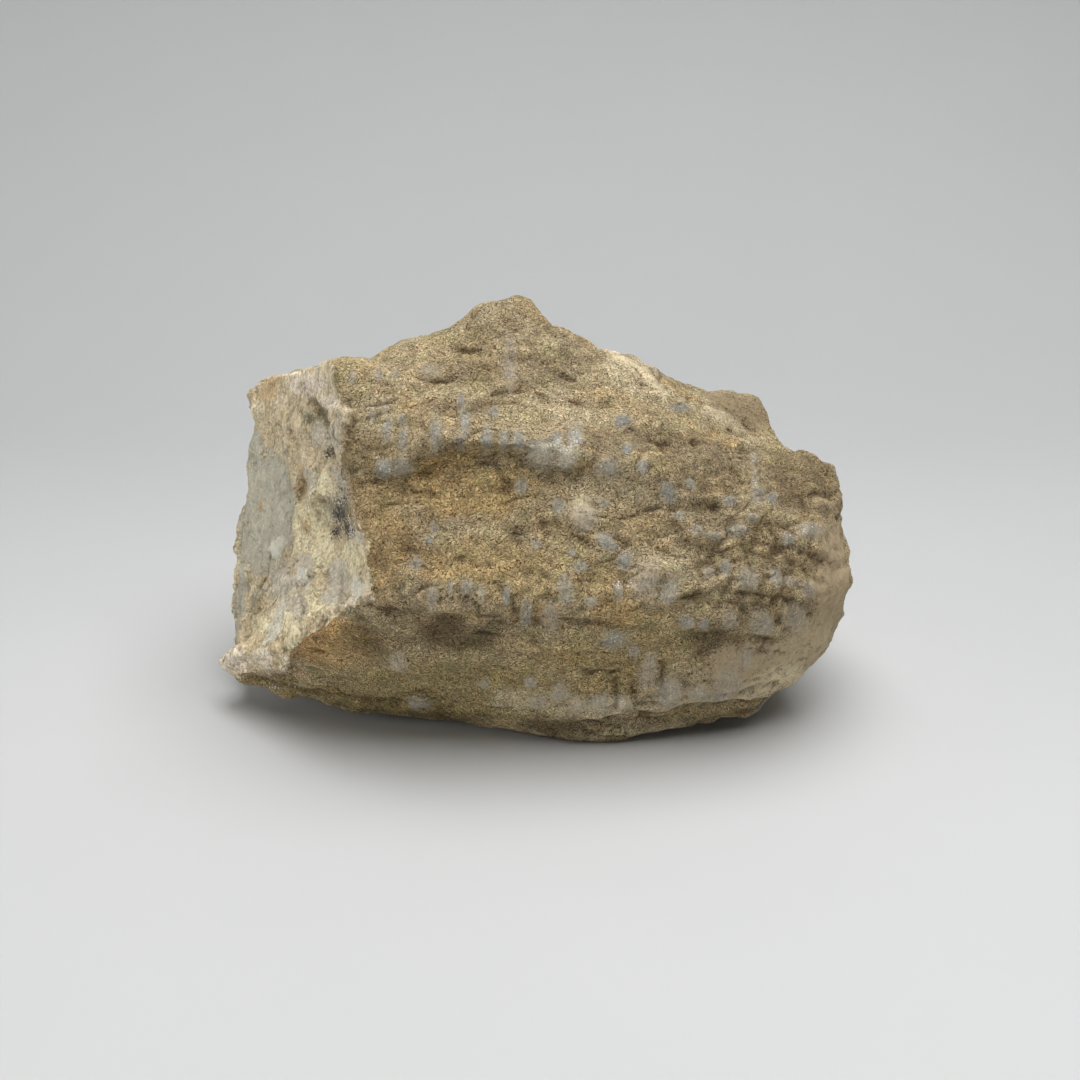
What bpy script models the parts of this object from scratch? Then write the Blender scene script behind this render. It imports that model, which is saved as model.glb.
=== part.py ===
"""Silicified fossil coral: one broken block of a coral colony that turned to stone.

X runs along the block, Y from its front to its back, and Z up. The origin is on the
rest face's level, under the middle of the block's bounding box. The skin is drawn
through thirteen rails that run lengthwise, from the fresh fracture at the left to the
rounded end at the right. The underside is cut flat where the block rests.
"""

import math

import bmesh
import bpy
from mathutils import Vector, noise

MM = 0.001

# Rails, in millimetres, each from the fracture's rim to the rounded end.
CREST = [
    (-40, -13, 73), (-29, -3, 73.5), (-18, 3, 77), (-6.5, 5, 82.5), (4, 7, 75),
    (17.5, 10, 69), (31.5, 13, 60), (44, 12, 51.5), (54, 6, 49), (58.5, 0, 47.5),
]
UPPER_SLOPE = [
    (-38, -20, 67.5), (-27.5, -17, 68), (-17, -13, 69.5), (-6, -11, 71), (6, -10, 67),
    (18.5, -8, 62), (32, -5, 56.5), (43.5, -4, 50), (52.5, -6, 47), (59, -4, 44.5),
]
BROW = [
    (-36.5, -25, 61), (-27, -28.5, 58.5), (-16.5, -29.5, 62.5), (-5.5, -29.5, 62),
    (5.5, -28.5, 60), (18, -26, 56.5), (29.5, -24, 52), (41.5, -20.5, 46),
    (51, -17, 42.5), (59.5, -9, 39.5),
]
HOLLOW = [
    (-35.5, -29, 54), (-26.5, -27.5, 54.5), (-16.5, -27, 58), (-5.5, -27, 57.5),
    (5.5, -27, 55), (17.5, -28, 50), (29.5, -27, 46), (41, -25, 41.5),
    (51.5, -21.5, 38), (60, -12, 34.5),
]
BELLY = [
    (-31.5, -36, 33.5), (-24.5, -39, 36), (-15.5, -40, 36.5), (-4.5, -40, 35),
    (6.5, -39.5, 34.5), (18, -38, 34.5), (29.5, -36, 33.5), (40.5, -33, 32.5),
    (50.5, -28, 30.5), (60.5, -16, 28.5),
]
LOWER_BELLY = [
    (-44, -31, 24), (-29, -36, 22.5), (-17, -37, 22.5), (-5, -37, 21.5),
    (6.5, -36, 20.5), (19, -35, 20), (30.5, -33, 19.5), (41.5, -30, 19.5),
    (51, -24.5, 19.5), (59.5, -15.5, 19.8),
]
KEEL = [
    (-65.5, -11, 8.5), (-39, -19.5, 2.7), (-19, -22.5, 3), (-5.5, -26, 2.3),
    (7.5, -29, 0.4), (20, -27.5, 1.2), (32, -25.5, 2.5), (43, -22.5, 5),
    (52, -19.5, 9.5), (57.5, -13, 15),
]
BASE_FRONT = [
    (-62, -6.5, 4.5), (-31, -10, 1.8), (-18, -13, -0.6), (-5, -16, -1.4), (8, -19, -1.6),
    (20, -18, -1.6), (32, -15, -0.6), (41, -11, 2.5), (49, -9, 8), (55, -5, 14.5),
]
BASE_BACK = [
    (-65, 0, 14), (-32, 12, 3), (-19, 17, -0.8), (-5, 20, -1.6), (8, 21, -1.6),
    (20, 20, -1.6), (32, 17, -0.6), (42, 14, 3), (50, 12, 9), (56.5, 8, 18),
]
LOWER_BACK = [
    (-64.5, 8, 30), (-36, 27, 14), (-20, 32, 10), (-5, 35, 10), (8, 36, 11), (21, 35, 11),
    (33, 33, 12), (44, 29, 15), (53, 23, 19), (59, 14, 25),
]
BACK = [
    (-63.5, 17, 46), (-41, 36, 38), (-21, 41, 38), (-5, 43, 39), (9, 43, 37),
    (22, 42, 36), (34, 41, 36), (46, 37, 36), (55, 28, 36), (61, 16, 34),
]
UPPER_BACK = [
    (-62.5, 25, 58), (-42, 34, 57), (-21, 36, 60), (-5, 36, 63), (9, 35, 60),
    (22, 34, 57), (34, 33, 55), (47, 29, 52), (54.5, 20, 43.5), (60.5, 11, 41),
]
BACK_SHOULDER = [
    (-51.5, 8, 66.5), (-35, 16, 68), (-19, 20, 71.5), (-6, 20, 75), (7, 20, 69),
    (20, 22, 63.5), (33, 24, 57), (45.5, 23, 56.5), (52, 15, 47), (59.5, 6, 45.5),
]
RAILS = [
    CREST, UPPER_SLOPE, BROW, HOLLOW, BELLY, LOWER_BELLY, KEEL,
    BASE_FRONT, BASE_BACK, LOWER_BACK, BACK, UPPER_BACK, BACK_SHOULDER,
]

# The two ends close on these points, in millimetres.
FRACTURE_HEART = (-47.5, -12, 41)
ROUND_END_TIP = (62, 1, 31)
ROUND_END_BULGE = 2

STEPS_ALONG = 5  # rings in each span between two stations
STEPS_AROUND = 5  # points in each span between two rails
END_RINGS = 7
END_SMOOTHINGS = 30
FRACTURE_SAG = 1.5  # how far the fracture dishes inwards, in millimetres
FRACTURE_INWARDS = (1, 0.5, 0)
TIGHTNESS = 0.5  # 0 is round between the rails' points, 1 is straight

# Rough relief, as amplitude and wavelength in millimetres. The broad one belongs to the
# back, and grows from nothing between the two depths.
BROAD_RELIEF = (2.6, 30.0)
COARSE_RELIEF = (1.0, 15.0)
FINE_RELIEF = (0.45, 6.0)
BACK_DEPTHS = (4, 26)

# Points this near to a cut's plane, in millimetres, count as on it.
CUT_TOLERANCE = 0.02

# Edges that turn more than this stay crisp.
CRISP_ANGLE = math.radians(40)

# The silica crust's finish.
TAN = (0.30, 0.22, 0.13, 1)
ROUGHNESS = 0.75

# Flat scars where chips broke off the hidden sides: a point on each, in millimetres,
# and the way it faces.
CHIP_SCARS = [
    ((-61.5, 26, 56), (-0.38, 0.92, -0.05)),
    ((-14, 31.5, 65), (-0.15, 0.62, 0.77)),
    ((14, 35, 57), (0.22, 0.80, 0.55)),
    ((0, 40.5, 30), (-0.12, 0.99, -0.10)),
    ((38, 33, 18), (0.42, 0.74, -0.52)),
    ((-16, 31, 7), (-0.30, 0.55, -0.78)),
    ((50, 26, 38), (0.72, 0.66, 0.20)),
]


def curve_through(points, steps, closed):
    """Points of a smooth curve through the given ones, with so many steps a span."""
    count = len(points)
    spans = count if closed else count - 1

    def at(index):
        return points[index % count] if closed else points[min(max(index, 0), count - 1)]

    curve = []
    for span in range(spans):
        start, end = at(span), at(span + 1)
        leave = (end - at(span - 1)) * (0.5 * (1 - TIGHTNESS))
        arrive = (at(span + 2) - start) * (0.5 * (1 - TIGHTNESS))
        for step in range(steps):
            t = step / steps
            curve.append(
                start * (2 * t**3 - 3 * t**2 + 1)
                + end * (3 * t**2 - 2 * t**3)
                + leave * (t**3 - 2 * t**2 + t)
                + arrive * (t**3 - t**2)
            )
    return curve if closed else curve + [points[-1]]


def cross_sections():
    """Closed rings of points from the fracture's rim to the rounded end."""
    rails = [
        curve_through([Vector(point) * MM for point in rail], STEPS_ALONG, False)
        for rail in RAILS
    ]
    return [curve_through(list(ring), STEPS_AROUND, True) for ring in zip(*rails)]


def fracture_rings(rim):
    """Rings that shrink from the fracture's rim into the middle of its hollow."""
    heart = Vector(FRACTURE_HEART) * MM
    shares = [1 - ring / END_RINGS for ring in range(1, END_RINGS)]
    return [[heart.lerp(point, share) for point in rim] for share in shares], heart


def round_end_rings(rim):
    """Rings that shrink over the domed right end."""
    tip = Vector(ROUND_END_TIP) * MM
    rings = []
    for ring in range(1, END_RINGS):
        share = 1 - ring / END_RINGS
        bulge = Vector((ROUND_END_BULGE * MM * (share - share**4), 0, 0))
        rings.append([tip.lerp(point, share) + bulge for point in rim])
    return rings, tip


def add_ring(bm, points):
    """The ring's points as vertices."""
    return [bm.verts.new(point) for point in points]


def skin_between(bm, ring, next_ring):
    """A band of four-sided faces between two rings of as many points."""
    for place in range(len(ring)):
        after = (place + 1) % len(ring)
        bm.faces.new((ring[place], ring[after], next_ring[after], next_ring[place]))


def close_on(bm, ring, tip):
    """A fan of triangles from the ring to one point, which it returns."""
    pole = bm.verts.new(tip)
    for place in range(len(ring)):
        bm.faces.new((ring[place], ring[(place + 1) % len(ring)], pole))
    return pole


def relax(bm, end_rings, pole):
    """Evens an end's faces out between its rim and its middle."""
    inner = [vert for ring in end_rings for vert in ring] + [pole]
    for _ in range(END_SMOOTHINGS):
        bmesh.ops.smooth_vert(
            bm, verts=inner, factor=0.5, use_axis_x=True, use_axis_y=True, use_axis_z=True
        )


def dish(end_rings, pole):
    """Sinks the fracture's middle into the block."""
    inwards = Vector(FRACTURE_INWARDS).normalized() * FRACTURE_SAG * MM
    for place, ring in enumerate(end_rings, 1):
        share = place / (len(end_rings) + 1)
        for vert in ring:
            vert.co += inwards * (1 - share**2)
    pole.co += inwards


def block_skin():
    """The closed skin of the block, before its relief."""
    bm = bmesh.new()
    sections = cross_sections()
    hollow, heart = fracture_rings(sections[0])
    dome, tip = round_end_rings(sections[-1])
    rings = [add_ring(bm, points) for points in hollow[::-1] + sections + dome]
    for ring, next_ring in zip(rings, rings[1:]):
        skin_between(bm, ring, next_ring)
    fracture_pole = close_on(bm, rings[0], heart)
    round_pole = close_on(bm, rings[-1], tip)
    relax(bm, rings[: len(hollow)], fracture_pole)
    relax(bm, rings[-len(dome) + 2 :], round_pole)
    dish(rings[: len(hollow)], fracture_pole)
    bmesh.ops.recalc_face_normals(bm, faces=bm.faces)
    return bm


def relief_at(place):
    """How far the skin stands out here, in metres."""
    near, far = BACK_DEPTHS
    share_of_back = min(max((place.y / MM - near) / (far - near), 0), 1)
    height = 0.0
    for relief, share in ((BROAD_RELIEF, share_of_back), (COARSE_RELIEF, 1), (FINE_RELIEF, 1)):
        amplitude, wavelength = relief
        height += share * amplitude * MM * noise.noise(place / (wavelength * MM))
    return height


def roughen(bm):
    """Moves each vertex along its normal by the relief there."""
    bm.normal_update()
    moves = [(vert, vert.normal * relief_at(vert.co)) for vert in bm.verts]
    for vert, move in moves:
        vert.co += move


def cut_flat(bm, place, facing):
    """Cuts off what lies beyond a plane and closes the cut with one flat face."""
    bmesh.ops.bisect_plane(
        bm,
        geom=bm.verts[:] + bm.edges[:] + bm.faces[:],
        dist=CUT_TOLERANCE * MM,
        plane_co=place,
        plane_no=facing,
        clear_outer=True,
    )
    rim = [edge for edge in bm.edges if edge.is_boundary]
    bmesh.ops.holes_fill(bm, edges=rim, sides=0)


def level(bm):
    """Puts every point of the rest face exactly on the ground."""
    for vert in bm.verts:
        if vert.co.z < CUT_TOLERANCE * MM:
            vert.co.z = 0.0


def centre(bm):
    """Puts the middle of the bounding box over the origin."""
    for axis in (0, 1):
        places = [vert.co[axis] for vert in bm.verts]
        middle = (min(places) + max(places)) / 2
        for vert in bm.verts:
            vert.co[axis] -= middle


def coral_stone():
    """Tan, grainy silica crust."""
    material = bpy.data.materials.new("coral_stone")
    material.use_nodes = True
    shader = material.node_tree.nodes["Principled BSDF"]
    shader.inputs["Base Color"].default_value = TAN
    shader.inputs["Roughness"].default_value = ROUGHNESS
    shader.inputs["Metallic"].default_value = 0.0
    return material


def fossil_coral():
    """The whole block as one object."""
    bm = block_skin()
    roughen(bm)
    for place, facing in CHIP_SCARS:
        cut_flat(bm, Vector(place) * MM, facing)
    cut_flat(bm, (0, 0, 0), (0, 0, -1))
    level(bm)
    bmesh.ops.recalc_face_normals(bm, faces=bm.faces)
    centre(bm)
    mesh = bpy.data.meshes.new("fossil_coral")
    bm.to_mesh(mesh)
    bm.free()
    mesh.materials.append(coral_stone())
    mesh.shade_smooth()
    mesh.set_sharp_from_angle(angle=CRISP_ANGLE)
    block = bpy.data.objects.new("fossil_coral", mesh)
    bpy.context.scene.collection.objects.link(block)


def main():
    for old in list(bpy.data.objects):
        bpy.data.objects.remove(old)
    fossil_coral()


main()
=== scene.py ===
"""Silicified fossil coral: the looks of one broken block of a coral colony turned to stone.

The block is a finely remeshed copy of the CAD solid. Ledges, corallite knobs, pits and the
fresh fracture are pressed into it as real relief, and its colours are laid on it as soft
patches that the stone material breaks up into sand grains and chalcedony windows.
Run it as a script, or read it as an add-on: the panel is in the 3D view's sidebar.
"""

import math
import random

import bmesh
import bpy
import numpy as np
from bpy.props import FloatProperty, FloatVectorProperty, PointerProperty
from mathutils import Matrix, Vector, noise


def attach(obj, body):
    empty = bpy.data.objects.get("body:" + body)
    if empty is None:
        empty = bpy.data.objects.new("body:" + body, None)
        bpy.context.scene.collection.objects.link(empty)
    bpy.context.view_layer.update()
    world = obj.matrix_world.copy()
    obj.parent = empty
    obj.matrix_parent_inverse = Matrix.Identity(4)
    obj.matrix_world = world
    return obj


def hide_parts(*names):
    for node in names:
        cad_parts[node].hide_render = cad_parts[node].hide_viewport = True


bl_info = {
    "name": "Silicified fossil coral",
    "version": (1, 0, 0),
    "blender": (4, 5, 0),
    "location": "View3D > Sidebar > Fossil coral",
    "description": "Builds a block of silicified coral and the stage it stands on",
    "category": "Add Mesh",
}

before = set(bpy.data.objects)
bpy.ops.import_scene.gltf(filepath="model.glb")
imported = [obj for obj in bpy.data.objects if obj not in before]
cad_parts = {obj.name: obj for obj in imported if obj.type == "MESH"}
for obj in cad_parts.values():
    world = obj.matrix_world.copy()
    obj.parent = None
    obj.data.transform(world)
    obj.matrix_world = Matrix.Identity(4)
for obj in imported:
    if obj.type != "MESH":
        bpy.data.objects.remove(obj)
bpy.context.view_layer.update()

MM = 0.001

# The front view, a square frame seen from a little above. Lengths are in millimetres.
FRAME_SIDE = 1080
VIEW_ANGLE = math.radians(38)
VIEW_TILT = math.radians(20)
VIEW_DISTANCE = 325.0
VIEW_TARGET = (1.0, -1.4, 32.3)
PIXEL = 2 * VIEW_DISTANCE * math.tan(VIEW_ANGLE / 2) / FRAME_SIDE

# The front's features. Each is placed by pixels of the front view's frame, across and down,
# and its heights and depths are in millimetres.

# The fresh fracture's outline.
FRACTURE = [
    (330, 363), (340, 395), (344, 430), (344, 468), (350, 510), (366, 545), (370, 598),
    (345, 611), (317, 627), (296, 643), (288, 664), (262, 668), (215, 684), (205, 600),
    (225, 480), (235, 380), (262, 358), (300, 350),
]

# Overhanging growth ledges: points along the edge, then how far the lip stands out, how
# deep the groove under it goes, and how far the two reach up and down.
LEDGES = [
    ([(352, 478), (372, 482), (398, 476), (412, 472), (424, 470), (437, 459), (458, 455)],
     0.6, 0.25, 5.0, 1.6),
    ([(498, 474), (520, 478), (540, 476), (560, 477), (580, 469), (596, 474)], 0.25, 0.2, 2.5, 1.2),
    ([(505, 531), (530, 531), (545, 521), (566, 528), (585, 539), (606, 556)], 0.3, 0.5, 3.0, 2.0),
    ([(674, 524), (692, 541), (718, 548), (748, 546),
      (775, 545), (800, 553), (824, 556)], 0.45, 0.45, 4.0, 2.2),
    ([(678, 596), (700, 592), (735, 592), (770, 596), (800, 602), (822, 606)], 0.7, 0.5, 4.0, 2.0),
    ([(690, 632), (715, 634), (750, 637), (786, 640)], 0.6, 0.75, 4.0, 2.2),
    ([(448, 349), (462, 350), (480, 349)], 0.4, 0.7, 2.0, 1.4),
    ([(408, 374), (432, 379), (462, 379), (494, 377)], 0.3, 0.4, 2.5, 1.6),
    ([(486, 394), (500, 389), (520, 390), (545, 396), (566, 397), (590, 404)], 0.3, 0.5, 2.5, 1.6),
    ([(540, 366), (556, 366), (570, 374), (580, 381)], 0.3, 0.6, 2.5, 1.5),
    ([(468, 337), (486, 338), (504, 334)], 0.3, 0.6, 2.0, 1.5),
    ([(628, 424), (650, 436), (676, 443), (706, 441)], 0.5, 0.9, 3.0, 1.8),
    ([(588, 430), (602, 434), (620, 440)], 0.3, 0.6, 2.0, 1.5),
    ([(700, 500), (716, 508), (730, 514)], 0.3, 0.5, 3.0, 1.5),
    ([(770, 446), (790, 450), (815, 462)], 0.3, 0.5, 2.0, 1.5),
    ([(786, 492), (806, 497), (834, 492)], 0.4, 0.4, 2.5, 1.5),
    ([(400, 556), (430, 561), (470, 556)], 0.15, 0.3, 2.5, 1.6),
    ([(372, 604), (400, 608), (430, 612), (470, 614), (520, 616), (545, 618)], 0.6, 0.35, 5.0, 3.5),
    ([(552, 620), (590, 618), (630, 607), (680, 604)], 0.3, 0.1, 5.0, 3.5),
    ([(584, 672), (600, 668), (624, 669)], 0.4, 0.9, 2.5, 1.6),
    ([(430, 634), (460, 630), (490, 634), (520, 632)], 0.2, 0.4, 3.0, 2.0),
    ([(560, 722), (600, 716), (650, 712), (700, 704), (740, 700), (775, 694)], 0.6, 0.6, 3.0, 2.0),
    ([(250, 674), (290, 684), (340, 691), (390, 699), (430, 708)], 0.5, 0.5, 3.0, 2.0),
]

# Chalcedony windows: across, down, half width, half height, turn in degrees, height, and
# how far the tint goes from blue-grey to lavender.
WINDOWS = [
    # the row over the brow
    (387, 430, 5, 13, 8, 0.35, 0.2), (404, 438, 5, 12, 0, 0.3, 0.2), (436, 432, 6, 18, 0, 0.45, 0.0),
    (465, 424, 5, 13, 0, 0.3, 0.1), (461, 441, 4, 9, 0, 0.3, 0.3), (487, 438, 6, 14, 0, 0.45, 0.0),
    (504, 440, 5, 12, 0, 0.3, 0.2), (519, 441, 6, 13, 0, 0.3, 0.1), (540, 454, 15, 15, 0, 0.1, 0.3),
    (372, 414, 3, 6, 0, 0.2, 0.1), (385, 408, 3, 6, 0, 0.2, 0.2), (402, 419, 4, 5, 0, 0.2, 0.0),
    (461, 404, 4, 8, 0, 0.25, 0.2), (385, 467, 8, 9, 0, 0.5, 0.2), (404, 466, 9, 9, 0, 0.5, 0.1),
    (575, 437, 8, 12, 10, 0.3, 0.3), (556, 442, 5, 8, 0, 0.2, 0.1), (566, 458, 12, 11, 0, 0.1, 0.4),
    (606, 467, 11, 10, 0, 0.6, 0.3), (622, 421, 8, 6, 0, 0.3, 0.0), (642, 468, 5, 8, 0, 0.3, 0.0),
    (627, 449, 5, 6, 0, 0.2, 0.0), (668, 492, 7, 10, -10, 0.4, 0.0), (692, 482, 5, 6, 0, 0.2, 0.1),
    # the upper slope
    (510, 364, 7, 25, 0, 0.25, 1.0), (430, 371, 9, 7, 0, 0.1, 1.0), (352, 378, 4, 6, 0, 0.1, 0.8),
    (378, 376, 4, 6, 0, 0.1, 0.5), (395, 374, 4, 5, 0, 0.1, 0.5), (341, 432, 5, 18, 6, 0.2, 0.8),
    (679, 408, 10, 4, 10, 0.2, 0.0), (494, 411, 5, 4, 0, 0.1, 0.0),
    # the field under the brow
    (521, 488, 6, 8, 0, 0.3, 0.0), (558, 506, 6, 9, 0, 0.3, 0.0), (434, 528, 4, 5, 0, 0.15, 0.0),
    (430, 540, 4, 4, 0, 0.15, 0.0), (417, 563, 6, 6, 0, 0.15, 0.9), (605, 541, 12, 7, 42, 0.45, 0.1),
    (625, 561, 7, 8, 20, 0.4, 0.1), (580, 566, 8, 5, 0, 0.2, 0.0), (604, 503, 6, 5, 0, 0.2, 0.1),
    (584, 518, 11, 12, 0, 0.3, 0.8), (572, 553, 4, 4, 0, 0.15, 0.0), (536, 545, 4, 4, 0, 0.1, 0.0),
    # the belly's edge
    (433, 596, 6, 12, 0, 0.35, 0.7), (450, 588, 3, 7, 0, 0.2, 0.6), (467, 588, 6, 8, 0, 0.35, 0.5),
    (481, 592, 4, 8, 0, 0.25, 0.4), (506, 596, 4, 10, 0, 0.3, 0.1), (526, 613, 6, 13, 0, 0.3, 0.3),
    (550, 616, 8, 14, 0, 0.35, 1.0), (566, 589, 8, 14, -6, 0.5, 0.1), (590, 602, 7, 5, 0, 0.3, 0.0),
    (618, 591, 4, 9, 0, 0.3, 0.1), (645, 582, 13, 17, 0, 0.6, 1.0), (670, 591, 8, 14, 28, 0.5, 0.2),
    # the knobbly right
    (696, 530, 6, 6, 0, 0.5, 0.1), (713, 537, 8, 5, 15, 0.5, 0.0), (737, 531, 9, 6, 0, 0.6, 0.1),
    (752, 519, 6, 5, 0, 0.4, 0.1), (679, 516, 5, 5, 0, 0.3, 0.0), (729, 501, 7, 5, 0, 0.4, 0.1),
    (757, 497, 8, 10, 0, 0.5, 0.2), (771, 500, 5, 7, 0, 0.4, 0.0), (754, 458, 5, 7, 0, 0.4, 1.0),
    (755, 479, 4, 10, 0, 0.4, 0.9), (809, 532, 12, 8, 0, 0.7, 0.7), (787, 539, 6, 6, 0, 0.6, 0.4),
    (725, 568, 5, 9, 0, 0.6, 0.1), (748, 579, 10, 10, 0, 0.8, 0.5), (775, 578, 6, 9, 0, 0.7, 0.2),
    (789, 582, 6, 6, 0, 0.6, 0.8), (807, 589, 9, 8, 0, 0.7, 0.9), (709, 574, 6, 7, 0, 0.5, 0.5),
    (687, 622, 7, 7, 0, 0.5, 0.1), (704, 623, 5, 6, 0, 0.4, 0.2), (729, 619, 7, 8, 0, 0.6, 0.7),
    (760, 623, 11, 11, 0, 0.8, 0.2), (794, 616, 11, 13, 0, 0.7, 0.9),
    # the belly
    (398, 661, 9, 9, 0, 0.35, 0.8), (418, 703, 11, 6, 10, 0.5, 0.3), (484, 684, 5, 5, 0, 0.2, 0.5),
    (530, 682, 6, 5, 0, 0.2, 0.5), (614, 639, 12, 8, 0, 0.3, 0.0), (634, 651, 6, 5, 0, 0.2, 0.1),
    (648, 672, 8, 17, 12, 0.4, 0.9), (668, 692, 12, 14, 10, 0.4, 0.6), (700, 692, 12, 7, 0, 0.3, 0.6),
    (728, 680, 13, 19, 10, 0.5, 1.0), (720, 695, 10, 7, 0, 0.3, 0.7), (560, 692, 9, 9, 0, 0.3, 0.8),
    (601, 702, 10, 7, 0, 0.3, 0.7), (577, 705, 10, 5, 0, 0.25, 0.8), (622, 702, 7, 8, 0, 0.3, 0.7),
    (538, 702, 8, 5, 0, 0.2, 0.8), (745, 657, 6, 10, 10, 0.3, 0.8),
]

# Places where windows are painted paler, as painted light that lifts their shade: across, down, half
# width, half height, how much.
WINDOWS_PAINTED_LIGHTER = [(546, 457, 32, 17, 1.1), (573, 456, 14, 14, 0.4), (584, 518, 17, 17, 0.45)]

# Clusters of white sparkling crystals: across, down, half width, half height.
CRYSTALS = [
    (562, 455, 24, 15), (576, 438, 8, 10), (384, 463, 14, 10), (470, 598, 4, 4), (507, 602, 4, 3),
    (532, 606, 7, 3), (754, 458, 6, 6), (755, 481, 4, 12), (787, 540, 6, 6), (727, 690, 5, 3),
    (598, 673, 5, 4), (642, 468, 5, 5), (465, 420, 4, 5), (234, 662, 16, 12), (318, 704, 12, 3),
    (590, 514, 5, 5), (398, 664, 6, 4), (350, 610, 16, 6), (362, 584, 8, 12), (262, 666, 20, 5),
    (340, 500, 6, 8), (622, 702, 3, 6), (614, 636, 4, 3), (700, 660, 4, 4), (668, 574, 4, 4),
    (275, 687, 34, 6), (606, 467, 7, 6), (622, 585, 12, 8), (800, 530, 10, 8),
]

# Knobs without a window: across, down, half width, half height, height.
KNOBS = [
    (580, 510, 18, 20, 1.5), (612, 372, 26, 16, 0.6), (668, 566, 34, 20, 1.1), (445, 400, 40, 12, 0.6),
    (540, 412, 40, 14, 0.7), (560, 340, 22, 16, 0.7), (640, 455, 26, 16, 0.8), (800, 472, 26, 16, 1.0),
    (820, 504, 18, 10, 0.9), (700, 478, 26, 20, -0.9), (728, 410, 34, 18, 0.4), (740, 445, 24, 8, 0.8),
    (606, 590, 30, 12, 0.6), (398, 470, 28, 14, 1.0), (655, 522, 26, 12, 0.7), (470, 505, 60, 26, -0.3),
    (740, 668, 40, 26, 0.7), (560, 640, 30, 20, 0.4), (330, 650, 30, 18, 0.4), (650, 420, 26, 12, 0.6),
    (596, 446, 22, 14, 0.5), (480, 365, 16, 8, 0.6), (425, 352, 24, 8, 0.4), (404, 384, 30, 7, 0.5),
    (372, 392, 20, 10, 0.5), (520, 352, 26, 8, 0.5), (600, 398, 22, 9, 0.6), (690, 460, 18, 9, 0.6),
    (436, 512, 30, 14, 0.5), (522, 560, 34, 12, 0.5), (470, 656, 40, 14, 0.5), (640, 690, 40, 10, 0.5),
]

# Pits and gaps: across, down, half width, half height, depth, how dark their painted shade is.
PITS = [
    (410, 471, 5, 3, 1.0, 1.0), (376, 481, 9, 3, 0.8, 0.8), (430, 404, 2.5, 2.5, 0.5, 1.0),
    (462, 350, 17, 1.5, 0.9, 0.8), (502, 306, 3, 5, 0.4, 0.7), (568, 374, 14, 1.5, 0.8, 0.7),
    (548, 362, 14, 1.5, 0.8, 0.6), (500, 392, 14, 1.5, 0.6, 0.6), (578, 467, 7, 3, 0.4, 0.4),
    (518, 530, 11, 4, 0.6, 0.6), (585, 538, 8, 4, 0.9, 0.8), (716, 508, 8, 2.5, 0.9, 0.9),
    (759, 481, 3, 3, 0.6, 0.8), (757, 545, 12, 3, 1.0, 0.9), (718, 544, 9, 3, 0.9, 0.8),
    (792, 563, 5, 4, 1.1, 1.0), (802, 553, 4, 3, 1.0, 0.9), (774, 553, 8, 5, 0.8, 0.7),
    (692, 596, 9, 6, 1.0, 0.9), (740, 594, 12, 5, 1.0, 0.8), (777, 597, 7, 6, 1.0, 0.9),
    (817, 604, 4, 4, 0.9, 0.9), (810, 615, 4, 3, 0.8, 0.8), (779, 620, 5, 9, 1.0, 0.9),
    (720, 632, 8, 3, 0.9, 0.8), (757, 637, 12, 3, 0.8, 0.7), (744, 612, 4, 7, 0.8, 0.7),
    (764, 563, 4, 6, 0.7, 0.6), (736, 566, 4, 6, 0.7, 0.6), (587, 671, 6, 3, 0.8, 0.8),
    (614, 668, 9, 3, 0.7, 0.7), (652, 509, 7, 3, 0.7, 0.7), (700, 441, 8, 2.5, 0.6, 0.6),
    (301, 411, 2, 2.5, 0.5, 0.9), (289, 369, 3, 4, 0.8, 0.7), (702, 655, 8, 6, 0.6, 0.6),
    (298, 474, 3, 6, 0.3, 0.3), (246, 522, 4, 9, 0.8, 0.5), (838, 517, 5, 3, 1.0, 0.7),
    (308, 420, 4, 5, 0.7, 0.9), (270, 433, 2, 2, 0.3, 0.6), (260, 508, 2, 4, 0.3, 0.7),
    (326, 571, 4, 3, 0.5, 0.7), (295, 618, 4, 4, 0.6, 0.6), (334, 453, 5, 4, 0.5, 0.8),
]
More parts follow.
